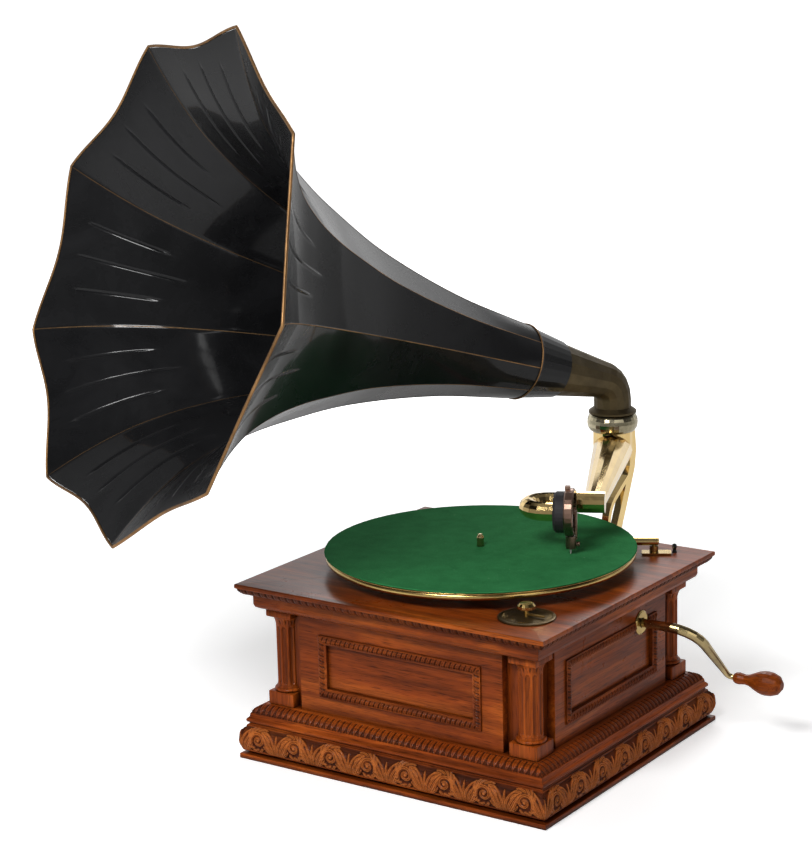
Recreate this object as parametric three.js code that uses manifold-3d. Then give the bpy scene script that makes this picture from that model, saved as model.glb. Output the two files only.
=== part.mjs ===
// Disc phonograph with an outside horn: carved case, turntable, tone arm, elbow, nine-panel horn and spring motor.
// Millimetres, +Z up. The origin is the middle of the case's underside, -Y is the front, +X the crank side.
import * as THREE from 'three';
import { mergeVertices } from 'three/addons/utils/BufferGeometryUtils.js';
import Module from 'manifold-3d';

const wasm = await Module();
wasm.setup();

// Clearances and cuts
const fit_gap = 0.3;
const overrun = 4;
const merge_distance = 1e-4;

// Case
const case_width = 347;
const case_depth = 327;
const case_height = 177;
const plinth_height = 53.5;
const top_board_thickness = 12.4;
const cornice_height = 14.6;
const bottom_board_thickness = 8;
const wall_inset = 24;
const wall_thickness = 14;
const corner_run = 58.5;
const post_inset = 32.3;
const plinth_ledge_inset = 52;
const plinth_ledge_thickness = 10;
const cornice_back_inset = 36;

// Plinth rail, from the ground up
const fillet_height = 5;
const fillet_proud = 1;
const torus_low = 6;
const torus_high = 34;
const torus_inset = 6;
const torus_proud = 1.5;
const bead_radius = 2.6;
const bead_inset = 7;
const bead_middle = 38.5;
const quarter_inset = 20;
const quarter_low = 42;

// Cornice and top board edge
const cornice_foot_inset = 20.9;
const frieze_inset = 12.6;
const cornice_ovolo_height = 5.5;
const lip_thickness = 4.4;
const lip_step = 1.6;

// Sunk field and applied moulding of each wall
const frame_front_width = 184;
const frame_side_width = 172;
const frame_height = 62;
const frame_bar = 9;
const frame_proud = 3.4;
const field_depth = 2.6;
const frame_shares = [[0, 0], [0, 0.5], [0.12, 0.62], [0.3, 0.95], [0.55, 1], [0.8, 0.5], [1, 0.3], [1, 0]];

// Corner columns
const column_inset = 35.6;
const column_radius = 11.4;
const flute_count = 10;
const flute_depth = 1.5;
const flute_shares = [[-0.5, 0], [-0.3, 0], [-0.16, 0.8], [0.16, 0.8], [0.3, 0]];
const pedestal_width = 29.6;
const pedestal_height = 13.5;
const ring_radius = 14.4;
const ring_height = 3.6;
const neck_height = 2.2;
const capital_height = 8;
const capital_flare = 3;
const abacus_height = 7.6;

// Turntable
const spindle_y = 5;
const spindle_radius = 3.5;
const spindle_rise = 12.1;
const spindle_collar_radius = 8;
const spindle_collar_height = 6.8;
const spindle_hole_radius = 7;
const felt_radius = 152.4;
const felt_thickness = 1.6;
const felt_rise = 20.6;
const platter_radius = 151.4;
const platter_web = 2.2;
const platter_rim_height = 7;
const platter_rim_wall = 2;
const hub_radius = 15;
const hub_height = 8;

// Collar behind the case, which holds the tone arm below and the elbow above
const collar_y = 265;
const collar_rise = 82.4;
const collar_height = 19.5;
const collar_radius = 26.9;
const collar_bore = 18.2;
const collar_edge = 3;

// Elbow
const elbow_rise = 33;
const horn_turn = -113.39;
const horn_rise = 17.35;
const elbow_radius = 19.8;
const elbow_bend = 24;
const elbow_wall = 1.6;
const elbow_foot_radius = 25.2;
const elbow_foot_height = 2;
const elbow_foot_flare = 4;
const elbow_spigot_depth = 9;

// Horn sleeve, measured along the horn's axis from the elbow's corner
const sleeve_start = 79;
const sleeve_end = 124.3;
const sleeve_seat = 22;
const sleeve_start_radius = 30;
const sleeve_end_radius = 38;
const sleeve_wall = 1.2;
const sleeve_ring_radius = 39.3;
const sleeve_ring_width = 3.2;

// Horn
const petal_count = 9;
const petal_phase = -1.1;
const petal_steps = 4;
const horn_wall = 1.2;
const horn_start_radius = 38.5;
const horn_length = 425.2;
const mouth_radius = 245.2;
const rim_dip = 8;
const rim_set_back = 4.5;
const rim_bead_radius = 1.9;
const rim_bead_sides = 6;
const round_throat_share = 0.15;
const petal_wave_share = 0.65;
const flare_shares = [
  [0, 0], [0.1, 0.026], [0.2, 0.055], [0.3, 0.097], [0.4, 0.149], [0.5, 0.213],
  [0.6, 0.298], [0.7, 0.395], [0.8, 0.524], [0.88, 0.665], [0.95, 0.84], [1, 1],
];

// Tone arm and its cross sleeve
const arm_turn = -65;
const arm_length = 218;
const arm_radius = 20.9;
const arm_end_radius = 10.6;
const arm_wall = 1.6;
const arm_drop = 20.4;
const arm_spigot_height = 8;
const cross_radius = 10.6;
const cross_right = 10.5;
const cross_left = 18.5;
const cross_wall = 1.4;
const cross_engagement = 8.5;

// Gooseneck
const neck_radius = 9.2;
const neck_wall = 1.2;
const neck_bend = 19;
const neck_straight = 24.5;
const neck_spigot_radius = 8.8;

// Sound box
const box_place = 35.3;
const flange_radius = 20;
const flange_thickness = 10.5;
const flange_edge = 2.5;
const neck_seat = 3.5;
const box_radius = 23.3;
const box_thickness = 9;
const box_edge = 1.2;
const box_back_wall = 2.2;
const box_bore = 19.5;
const diaphragm_depth = 3.4;
const diaphragm_thickness = 0.8;
const lug_width = 5;
const lug_height = 2.6;
const bar_width = 3;
const bar_thickness = 2;
const chuck_radius = 5;
const chuck_height = 12;
const chuck_place = 5;
const needle_lift = 0.5;
const needle_radius = 0.8;
const needle_tip_radius = 0.25;
const needle_taper = 3;
const needle_length = 13;
const needle_lean = 25;
const thumbscrew_rise = 3.5;
const thumbscrew_radius = 2.6;
const thumbscrew_length = 3.4;
const thumbscrew_shank = 1.2;

// Bracket behind the case, drawn from its wall plate to the collar
const bracket_thickness = 8;
const bracket_strap = 11.7;
const brace_strap = 5.5;
const bracket_steps = 16;
const plate_width = 64;
const plate_thickness = 6;
const plate_foot_gap = 12.5;
const plate_top_gap = 22;
const strap_shares = [
  [0, 0], [0.25, -0.01], [0.485, 0.017], [0.72, 0.122], [0.84, 0.279], [0.907, 0.395],
  [0.987, 0.54], [1.061, 0.685], [1.074, 0.83], [1.01, 0.97], [0.89, 1],
];
const brace_shares = [[1.034, 0.63], [0.9, 0.56], [0.773, 0.482], [0.72, 0.366], [0.735, 0.145]];

// Speed regulator
const dial_x = 124.3;
const dial_y = -111.4;
const dial_radius = 26.7;
const dial_thickness = 1.8;
const knob_radius = 8.4;
const knob_height = 5;
const knob_top_radius = 6.4;
const knob_rise = 14;
const stem_radius = 2.2;
const pointer_length = 19;
const pointer_width = 3;
const pointer_thickness = 1.2;
const cam_radius = 5;
const cam_offset = 1.85;
const cam_clearance = 2.2;
const cam_thickness = 5;

// Governor lever, which lies on the motor plate and is swung by the regulator's cam
const lever_x = 84;
const lever_y = -60;
const lever_lift = 1.5;
const lever_width = 8;
const lever_thickness = 2.4;
const lever_rim = 3;
const lever_boss_radius = 6;
const lever_stud_radius = 3;
const lever_stud_rise = 1;
const pad_gap = 1.4;
const pad_radius = 2;
const pad_play = 2;

// Brake, measured about its post with X along the lever
const brake_x = 126;
const brake_y = 125.2;
const brake_turn = 29.6;
const brake_plate_left = 12;
const brake_plate_right = 17;
const brake_plate_width = 13;
const brake_plate_thickness = 2.4;
const brake_rise = 13;
const brake_lever_radius = 4;
const brake_lever_round = 1.4;
const brake_lever_right = 5;
const brake_lever_left = 21.3;
const brake_post_radius = 2.4;
const brake_post_foot = 4.4;
const peg_x = 20.2;
const peg_y = 5.2;
const peg_radius = 2.5;
const peg_height = 9;
const peg_shares = [[0, 1], [0.35, 0.7], [0.7, 1], [0.9, 0.9], [1, 0.5]];

// Crank
const crank_y = 56;
const crank_drop = 47.5;
const crank_radius = 4.2;
const crank_end_radius = 2.7;
const crank_swell = 1.2;
const crank_angle = -45.1;
const crank_throw = 88;
const crank_straight = 56.5;
const crank_lean = 5;
const crank_bend = 26;
const crank_foot = 6;
const crank_foot_bend = 5;
const pin_radius = 2.2;
const pin_length = 40;
const handle_length = 50.5;
const handle_radius = 12;
const handle_shares = [
  [0, 0.36], [0.04, 0.47], [0.1, 0.5], [0.16, 0.46], [0.23, 0.42], [0.31, 0.47], [0.41, 0.67],
  [0.51, 0.86], [0.6, 0.97], [0.68, 1], [0.8, 0.96], [0.92, 0.78], [1, 0.36],
];
const escutcheon_radius = 12;
const escutcheon_thickness = 1.6;
const shaft_hole_radius = 5;
const winding_radius = 3.9;

// Spring motor
const motor_drop = 6.6;
const motor_plate_thickness = 6;
const motor_space = 98;
const lower_plate_thickness = 4;
const motor_left = -44;
const motor_right = 112;
const motor_front = -72;
const motor_back = 102;
const pillar_radius = 5;
const pillar_inset = 9;
const pivot_radius = 2.5;
const pivot_depth = 3;
const arbor_radius = 4.5;
const middle_arbor_radius = 3.5;
const barrel_x = 58;
const barrel_radius = 40;
const barrel_wall = 2;
const barrel_height = 35;
const spring_turns = 5;
const spring_steps = 16;
const spring_thickness = 1;
const spring_margin = 2;
const great_module = 2.25;
const great_teeth = 40;
const pinion_teeth = 8;
const great_lift = 18;
const great_thickness = 5;
const train_module = 1.75;
const train_teeth = 32;
const train_lift = 6;
const train_thickness = 4;
const pinion_overhang = 1;
const crown_teeth = 24;
const crown_inner = 19.5;
const crown_outer = 23.5;
const crown_rim = 4;
const winding_teeth = 10;
const hanger_width = 14;
const hanger_thickness = 5;
const hanger_edge = 3;
const winding_hanger_x = 100;
const inner_hanger_x = 66;
const governor_lift = 50;
const governor_left = -26;
const governor_right = 103;
const governor_radius = 2;
const worm_wheel_radius = 13;
const worm_wheel_teeth = 24;
const worm_wheel_thickness = 5;
const worm_radius = 4.5;
const worm_ribs = 5;
const worm_pitch = 4;
const worm_groove = 1;
const worm_clearance = 0.5;
const disc_x = 88;
const disc_radius = 15;
const disc_thickness = 2.4;
const weight_x = 56;
const weight_reach = 20;
const weight_radius = 4.5;
const weight_place = 13;
const weight_count = 3;
const leaf_thickness = 1;
const leaf_width = 5;
const governor_hub_radius = 5;
const governor_hub_length = 6;

// Tooth form, as shares of the module and of the pitch
const addendum_share = 0.8;
const dedendum_share = 1.1;
const root_tooth_share = 0.5;
const tip_tooth_share = 0.2;
const crown_tooth_share = 0.28;

// Facets
const disc_sides = 60;
const ring_sides = 32;
const tube_sides = 16;
const rod_sides = 10;
const arc_steps = 5;

// Derived places
const half_width = case_width / 2;
const half_depth = case_depth / 2;
const top_under = case_height - top_board_thickness;
const cornice_under = top_under - cornice_height;
const panel_middle = (plinth_height + cornice_under) / 2;
const wall_x = half_width - wall_inset;
const wall_y = half_depth - wall_inset;
const motor_plate_top = top_under - motor_drop;
const motor_under = motor_plate_top - motor_plate_thickness;
const lower_plate_top = motor_under - motor_space;
const lower_plate_low = lower_plate_top - lower_plate_thickness;
const great_low = lower_plate_top + great_lift;
const train_low = lower_plate_top + train_lift;
const governor_z = lower_plate_top + governor_lift;
const plate_low = plinth_height + plate_foot_gap;
const plate_height = cornice_under - plate_top_gap - plate_low;
const crank_z = case_height - crank_drop;
const felt_top = case_height + felt_rise;
const spindle_top = felt_top + spindle_rise;
const knob_top = case_height + knob_rise;
const brake_height = case_height + brake_rise;
const collar_low = case_height + collar_rise;
const collar_high = collar_low + collar_height;
const elbow_corner_height = collar_high + elbow_rise;
const arm_height = collar_low - arm_drop;
const lever_low = motor_plate_top + lever_lift;
const lever_top = lever_low + lever_thickness;
const radians = THREE.MathUtils.degToRad;
const lerp = THREE.MathUtils.lerp;
const up = new THREE.Vector3(0, 0, 1);

// Materials
const paint = (color, roughness, metalness) => new THREE.MeshStandardMaterial({ color, roughness, metalness });
const oak = () => paint(0x7a4526, 0.4, 0);
const carved_oak = () => paint(0x8a4d28, 0.5, 0);
const brass = () => paint(0xb5893c, 0.2, 1);
const steel = () => paint(0x9a9a98, 0.35, 1);
const nickel = () => paint(0xb0a890, 0.25, 1);
const bronze = () => paint(0x6b5140, 0.4, 1);
const iron = () => paint(0x2b2d30, 0.6, 0.4);
const black_enamel = () => paint(0x0c0d10, 0.15, 0.1);
const gilt = () => paint(0xa9793c, 0.35, 0.8);
const olive_bronze = () => paint(0x3a3020, 0.45, 0.5);
const felt_green = () => paint(0x1f5230, 0.95, 0);
const rubber_black = () => paint(0x1d1b1e, 0.8, 0);

const object = new THREE.Group();

// Solids
function manifoldOf(position, triVerts) {
  return new wasm.Manifold(new wasm.Mesh({ numProp: 3, vertProperties: position, triVerts }));
}

function solidOf(geometry) {
  const bare = new THREE.BufferGeometry().setAttribute('position', geometry.getAttribute('position').clone());
  if (geometry.index) bare.setIndex(geometry.index);
  const merged = mergeVertices(bare, merge_distance);
  const index = merged.index.array;
  const kept = [];
  const flipped = [];
  for (let i = 0; i < index.length; i += 3) {
    const [a, b, c] = index.slice(i, i + 3);
    if (a !== b && b !== c && c !== a) {
      kept.push(a, b, c);
      flipped.push(a, c, b);
    }
  }
  const position = new Float32Array(merged.getAttribute('position').array);
  const solid = manifoldOf(position, new Uint32Array(kept));
  return solid.volume() > 0 ? solid : manifoldOf(position, new Uint32Array(flipped));
}

function shapeOf(solid) {
  const mesh = solid.getMesh();
  const geometry = new THREE.BufferGeometry();
  geometry.setAttribute('position', new THREE.BufferAttribute(new Float32Array(mesh.vertProperties), 3));
  geometry.setIndex(new THREE.BufferAttribute(new Uint32Array(mesh.triVerts), 1));
  return geometry;
}

function join(first, ...others) {
  return shapeOf(others.reduce((sum, next) => sum.add(solidOf(next)), solidOf(first)));
}

function cut(first, ...others) {
  return shapeOf(others.reduce((rest, next) => rest.subtract(solidOf(next)), solidOf(first)));
}

function piece(name, shape, material, parent = object) {
  const geometry = shapeOf(solidOf(shape));
  geometry.computeVertexNormals();
  const mesh = new THREE.Mesh(geometry, material);
  mesh.name = name;
  parent.add(mesh);
}

// Basic closed shapes
function at(x, y, z = 0) {
  return new THREE.Vector3(x, y, z);
}

function block(x0, x1, y0, y1, z0, z1) {
  const box = new THREE.BoxGeometry(x1 - x0, y1 - y0, z1 - z0);
  return box.translate((x0 + x1) / 2, (y0 + y1) / 2, (z0 + z1) / 2);
}

function rod(radius, z0, z1, sides = rod_sides, end_radius = radius) {
  const cylinder = new THREE.CylinderGeometry(end_radius, radius, z1 - z0, sides).rotateX(Math.PI / 2);
  return cylinder.translate(0, 0, (z0 + z1) / 2);
}

// A solid turned about Z from [radius, height] points that start and end on the axis
function turned(outline, sides = disc_sides) {
  return new THREE.LatheGeometry(outline.map(([r, z]) => new THREE.Vector2(r, z)), sides).rotateX(Math.PI / 2);
}

// A ring turned about Z from an outline that closes on itself
function turnedRing(outline, sides = disc_sides) {
  return turned([...outline, outline[0]], sides);
}

function extruded(shape, z0, z1) {
  const options = { depth: z1 - z0, bevelEnabled: false, curveSegments: rod_sides };
  return new THREE.ExtrudeGeometry(shape, options).translate(0, 0, z0);
}

// Lays a shape that stands on Z along a direction from a point
function along(geometry, direction, origin) {
  const turn = new THREE.Quaternion().setFromUnitVectors(up, direction.clone().normalize());
  return geometry.applyQuaternion(turn).translate(origin.x, origin.y, origin.z);
}

function movedTo(place, geometry) {
  return geometry.translate(place.x, place.y, place.z);
}

// Joins rings of points into a skin. A closed skin joins its last ring to its first, an open one gets end caps.
function lofted(rings, closed = false) {
  const count = rings[0].length;
  const points = rings.flat();
  const faces = [];
  const spans = closed ? rings.length : rings.length - 1;
  for (let i = 0; i < spans; i += 1) {
    const j = (i + 1) % rings.length;
    for (let k = 0; k < count; k += 1) {
      const l = (k + 1) % count;
      faces.push(i * count + k, j * count + k, j * count + l);
      faces.push(i * count + k, j * count + l, i * count + l);
    }
  }
  const ends = closed ? [] : [0, rings.length - 1];
  ends.forEach((end) => {
    const middle = rings[end].reduce((sum, p) => sum.add(p), new THREE.Vector3()).divideScalar(count);
    points.push(middle);
    for (let k = 0; k < count; k += 1) {
      const pair = [end * count + k, end * count + ((k + 1) % count)];
      faces.push(points.length - 1, ...(end ? pair.reverse() : pair));
    }
  });
  const geometry = new THREE.BufferGeometry().setFromPoints(points);
  geometry.setIndex(faces);
  return geometry;
}

// A path through points, each inner corner rounded by an arc of its own radius
function bentPath(points, radii) {
  const heading = (i) => points[i + 1].clone().sub(points[i]).normalize();
  const stations = [{ point: points[0], tangent: heading(0) }];
  for (let i = 1; i < points.length - 1; i += 1) {
    const into = heading(i - 1);
    const out = heading(i);
    const angle = into.angleTo(out);
    const radius = radii[i - 1];
    const start = points[i].clone().addScaledVector(into, -radius * Math.tan(angle / 2));
    const side = out.clone().addScaledVector(into, -into.dot(out)).normalize();
    for (let step = 0; step <= arc_steps; step += 1) {
      const turn = (angle * step) / arc_steps;
      const point = start.clone().addScaledVector(into, radius * Math.sin(turn));
      point.addScaledVector(side, radius * (1 - Math.cos(turn)));
      const tangent = into.clone().multiplyScalar(Math.cos(turn)).addScaledVector(side, Math.sin(turn));
      stations.push({ point, tangent });
    }
  }
  stations.push({ point: points.at(-1), tangent: heading(points.length - 2) });
  let run = 0;
  const runs = stations.map(({ point }, i) => {
    run += i ? point.distanceTo(stations[i - 1].point) : 0;
    return run;
  });
  return stations.map((station, i) => ({ ...station, share: runs[i] / run }));
}

// A round tube along a path that lies in one plane. across is that plane's normal.
function tubeAlong(stations, across, radiusAt) {
  return lofted(stations.map((station) => {
    const other = across.clone().cross(station.tangent).normalize();
    const radius = radiusAt(station);
    return Array.from({ length: tube_sides }, (_, k) => {
      const angle = (2 * Math.PI * k) / tube_sides;
      const point = station.point.clone().addScaledVector(across, radius * Math.cos(angle));
      return point.addScaledVector(other, radius * Math.sin(angle));
    });
  }));
}

// Points on an ellipse from one angle to another, in degrees
function arcPoints(x, z, rx, rz, from, to, steps = arc_steps) {
  return Array.from({ length: steps + 1 }, (_, i) => {
    const angle = radians(lerp(from, to, i / steps));
    return [x + rx * Math.cos(angle), z + rz * Math.sin(angle)];
  });
}

// Case. Each side is drawn as the front is, with Y running back from the case's face, inside turned groups.
const sides = [
  { name: 'front', turn: 0, distance: half_depth, half_run: half_width, frame: frame_front_width },
  { name: 'right', turn: 90, distance: half_width, half_run: half_depth, frame: frame_side_width },
  { name: 'back', turn: 180, distance: half_depth, half_run: half_width, frame: 0 },
  { name: 'left', turn: 270, distance: half_width, half_run: half_depth, frame: frame_side_width },
];

// A rail's outline gives [distance out from the case's face, height]. Both ends are mitred.
function mitredRail(outline, half_run) {
  const shape = new THREE.Shape(outline.map(([out, z]) => new THREE.Vector2(out, z)));
  const rail = extruded(shape, 0, half_run);
  const place = rail.getAttribute('position');
  for (let i = 0; i < place.count; i += 1) {
    const out = place.getX(i);
    const end = place.getZ(i) > 0 ? 1 : -1;
    place.setXYZ(i, end * (half_run + out - fit_gap / 2), -out, place.getY(i));
  }
  return rail;
}

function plinthOutline() {
  const torus_middle = (torus_low + torus_high) / 2;
  return [
    [-wall_inset, 0], [fillet_proud, 0], [fillet_proud, fillet_height], [-torus_inset, torus_low],
    ...arcPoints(-torus_inset, torus_middle, torus_inset + torus_proud, torus_high - torus_middle, -60, 90),
    [-bead_inset, bead_middle - bead_radius],
    ...arcPoints(-bead_inset, bead_middle, bead_radius, bead_radius, -45, 60, 2),
    [-bead_inset, quarter_low],
    ...arcPoints(-quarter_inset, quarter_low, quarter_inset - bead_inset, plinth_height - quarter_low, 15, 90),
    [-plinth_ledge_inset, plinth_height], [-plinth_ledge_inset, plinth_height - plinth_ledge_thickness],
    [-wall_inset, plinth_height - plinth_ledge_thickness],
  ];
}

function corniceOutline() {
  const ovolo_top = cornice_under + cornice_ovolo_height;
  const ovolo_run = cornice_foot_inset - frieze_inset;
  return [
    [-cornice_back_inset, cornice_under],
    ...arcPoints(-cornice_foot_inset, ovolo_top, ovolo_run, cornice_ovolo_height, -90, 0, 3),
    [-frieze_inset, top_under], [-cornice_back_inset, top_under],
  ];
}

// A wall fills the space between two corner posts. Where it has a frame, the field inside that is sunk.
function wallBoard(half_run, frame) {
  const half_wall = half_run - corner_run;
  const back = wall_inset + wall_thickness;
  const board = block(-half_wall, half_wall, wall_inset, back, plinth_height, cornice_under);
  if (!frame) return board;
  const x = frame / 2 - frame_bar;
  const z = frame_height / 2 - frame_bar;
  const front = wall_inset - overrun;
  return cut(board, block(-x, x, front, wall_inset + field_depth, panel_middle - z, panel_middle + z));
}

// The moulding's outline goes round the four corners of its frame, as [inwards, proud]
function appliedFrame(width) {
  const rings = [[-1, -1], [1, -1], [1, 1], [-1, 1]].map(([sx, sz]) => frame_shares.map(([inwards, proud]) => at(
    sx * (width / 2 - frame_bar * inwards),
    wall_inset - frame_proud * proud,
    panel_middle + sz * (frame_height / 2 - frame_bar * inwards),
  )));
  return lofted(rings, true);
}

function shaftHole(radius) {
  const reach = wall_inset + wall_thickness + overrun;
  return along(rod(radius, -reach, reach, tube_sides), at(0, 1), at(crank_y, 0, crank_z));
}

function addSides() {
  sides.forEach(({ name, turn, distance, half_run, frame }) => {
    const side = new THREE.Group();
    side.rotation.z = radians(turn);
    object.add(side);
    const set = new THREE.Group();
    set.position.y = -distance;
    side.add(set);
    const cranked = name === 'right';
    const board = wallBoard(half_run, frame);
    piece(`${name}_wall`, cranked ? cut(board, shaftHole(shaft_hole_radius)) : board, oak(), set);
    if (frame) {
      const moulding = appliedFrame(frame);
      const seat = shaftHole(escutcheon_radius + fit_gap);
      piece(`${name}_moulding`, cranked ? cut(moulding, seat) : moulding, carved_oak(), set);
    }
    piece(`plinth_${name}`, mitredRail(plinthOutline(), half_run), carved_oak(), set);
    piece(`cornice_${name}`, mitredRail(corniceOutline(), half_run), oak(), set);
  });
}

// Each corner is drawn as the front right one is, from the case's corner inwards: -X and +Y
const corners = [
  { name: 'front_right', sx: 1, sy: -1, turn: 0 },
  { name: 'back_right', sx: 1, sy: 1, turn: 90 },
  { name: 'back_left', sx: -1, sy: 1, turn: 180 },
  { name: 'front_left', sx: -1, sy: -1, turn: 270 },
];

// The post, grown by a gap where it is used to cut the column that stands in front of it
function cornerPost(grow) {
  const outer = post_inset - grow;
  return block(-corner_run, -outer, outer, corner_run, plinth_height - grow, cornice_under + grow);
}

function flutedShaft(z0, z1) {
  const pitch = (2 * Math.PI) / flute_count;
  const outline = [];
  for (let i = 0; i < flute_count; i += 1) {
    flute_shares.forEach(([turn_share, depth_share]) => {
      const angle = pitch * (i + turn_share);
      const radius = column_radius - flute_depth * depth_share;
      outline.push(new THREE.Vector2(radius * Math.cos(angle), radius * Math.sin(angle)));
    });
  }
  return extruded(new THREE.Shape(outline), z0, z1);
}

function column() {
  const ring_low = plinth_height + pedestal_height;
  const ring_high = ring_low + ring_height;
  const shaft_low = ring_high + neck_height;
  const capital_high = cornice_under - abacus_height;
  const capital_low = capital_high - capital_height;
  const half = pedestal_width / 2;
  const round = ring_height / 2;
  const neck = ring_radius - round;
  const base_ring = turned([
    [0, ring_low], ...arcPoints(neck, ring_low + round, round, round, -90, 90, 3), [neck, shaft_low], [0, shaft_low],
  ], tube_sides);
  const capital = turned([
    [0, capital_low], [column_radius, capital_low],
    [column_radius + capital_flare / 3, (capital_low + capital_high) / 2],
    [column_radius + capital_flare, capital_high], [0, capital_high],
  ], tube_sides);
  return join(
    block(-half, half, -half, half, plinth_height, ring_low), base_ring, flutedShaft(shaft_low, capital_low),
    capital, block(-half, half, -half, half, capital_high, cornice_under),
    rod(column_radius / 2, plinth_height + round, cornice_under - round),
  ).translate(-column_inset, column_inset, 0);
}

function addCorners() {
  corners.forEach(({ name, sx, sy, turn }) => {
    const corner = new THREE.Group();
    corner.position.set(sx * half_width, sy * half_depth, 0);
    corner.rotation.z = radians(turn);
    object.add(corner);
    piece(`${name}_post`, cornerPost(0), oak(), corner);
    piece(`${name}_column`, cut(column(), cornerPost(fit_gap)), carved_oak(), corner);
  });
}

function addBoards() {
  piece('bottom_board', block(-wall_x, wall_x, -wall_y, wall_y, 0, bottom_board_thickness), oak());
  const lip_low = case_height - lip_thickness;
  const edge = [
    [frieze_inset, top_under],
    ...arcPoints(frieze_inset, lip_low, lip_step - frieze_inset, lip_low - top_under, -75, 0, 4),
    [0, lip_low], [0, case_height],
  ];
  const rings = edge.map(([inset, z]) => [[-1, -1], [1, -1], [1, 1], [-1, 1]]
    .map(([sx, sy]) => at(sx * (half_width - inset), sy * (half_depth - inset), z)));
  const [low, high] = [top_under - overrun, case_height + overrun];
  const spindle_hole = rod(spindle_hole_radius, low, high, tube_sides).translate(0, spindle_y, 0);
  const stem_hole = rod(stem_radius + fit_gap, low, high).translate(dial_x, dial_y, 0);
  piece('top_board', cut(lofted(rings), spindle_hole, stem_hole), oak());
}

// Turntable
const spindle_place = at(0, spindle_y);
const platter_top = felt_top - felt_thickness;
const web_low = platter_top - platter_web;
const hub_low = web_low - hub_height;

function addTurntable() {
  const bore = spindle_radius + fit_gap;
  const rim_inner = platter_radius - platter_rim_wall;
  const edge = platter_web / 2;
  const platter = turnedRing([
    [bore, hub_low], [hub_radius, hub_low], [hub_radius, web_low], [rim_inner - platter_web, web_low],
    [rim_inner, web_low - platter_web], [rim_inner, platter_top - platter_rim_height],
    [platter_radius, platter_top - platter_rim_height], [platter_radius, platter_top - edge],
    [platter_radius - edge, platter_top], [bore, platter_top],
  ]);
  piece('platter', movedTo(spindle_place, platter), brass());
  const felt_edge = felt_thickness / 3;
  const felt = turnedRing([
    [bore, platter_top], [platter_radius - edge, platter_top], [felt_radius, platter_top + felt_edge],
    [felt_radius - felt_edge, felt_top], [bore, felt_top],
  ]);
  piece('felt_mat', movedTo(spindle_place, felt), felt_green());
}

// Sound path
const collar_place = at(0, collar_y);
const arm_heading = at(Math.cos(radians(arm_turn)), Math.sin(radians(arm_turn)));
const cross_heading = up.clone().cross(arm_heading);
const arm_corner = at(0, collar_y, arm_height);
const arm_head = arm_corner.clone().addScaledVector(arm_heading, arm_length);
const near_axis = arm_head.clone().addScaledVector(arm_heading, 2 * neck_bend);
const neck_bore = neck_spigot_radius - neck_wall;
const spigot_radius = collar_bore - fit_gap;

function addCollar() {
  const middle = (collar_low + collar_high) / 2;
  const bulge = collar_radius - collar_bore - collar_edge;
  const ring = turnedRing([
    [collar_bore, collar_low],
    ...arcPoints(collar_radius - bulge, middle, bulge, collar_high - middle, -90, 90, 8),
    [collar_bore, collar_high],
  ], ring_sides);
  piece('collar', movedTo(collar_place, ring), nickel());
}

// A ball at the corner joins the arm's upright stub to its long taper
function addToneArm() {
  const shoulder = collar_low - fit_gap;
  const spigot_top = shoulder + arm_spigot_height;
  const taper = (trim) => along(
    rod(arm_radius - trim, 0, arm_length, tube_sides, arm_end_radius - trim), arm_heading, arm_corner,
  );
  const ball = (trim) => movedTo(
    arm_corner, new THREE.SphereGeometry(arm_radius - trim, tube_sides, tube_sides / 2).rotateX(Math.PI / 2),
  );
  const stub = (radius, top) => movedTo(collar_place, rod(radius, arm_height, top, tube_sides));
  const sleeve = (radius, left, right) => along(rod(radius, -left, right, tube_sides), cross_heading, arm_head);
  const outside = join(
    taper(0), ball(0), stub(arm_radius, shoulder), stub(spigot_radius, spigot_top),
    sleeve(cross_radius, cross_left, cross_right),
  );
  const inside = [
    taper(arm_wall), ball(arm_wall), stub(spigot_radius - arm_wall, spigot_top + overrun),
    sleeve(neck_spigot_radius + fit_gap, cross_left + overrun, cross_right - cross_wall),
  ];
  piece('tone_arm', cut(outside, ...inside), brass());
}

// The gooseneck turns in the cross sleeve: a far branch, a half circle and a near branch that holds the sound box
function neckPath(back, front) {
  const turn_end = -cross_left - neck_straight - neck_bend;
  const place = (base, run) => base.clone().addScaledVector(cross_heading, run);
  return bentPath(
    [place(arm_head, back), place(arm_head, turn_end), place(near_axis, turn_end), place(near_axis, front)],
    [neck_bend, neck_bend],
  );
}

function addGooseneck() {
  const start = -cross_left - fit_gap;
  const front = -box_place + neck_seat;
  const spigot_end = -cross_left + cross_engagement;
  const outside = tubeAlong(neckPath(start, front), up, () => neck_radius);
  const spigot = rod(neck_spigot_radius, start - neck_wall, spigot_end, tube_sides);
  const bore = tubeAlong(neckPath(spigot_end + overrun, front + overrun), up, () => neck_bore);
  piece('gooseneck', cut(join(outside, along(spigot, cross_heading, arm_head)), bore), brass());
}

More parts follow.
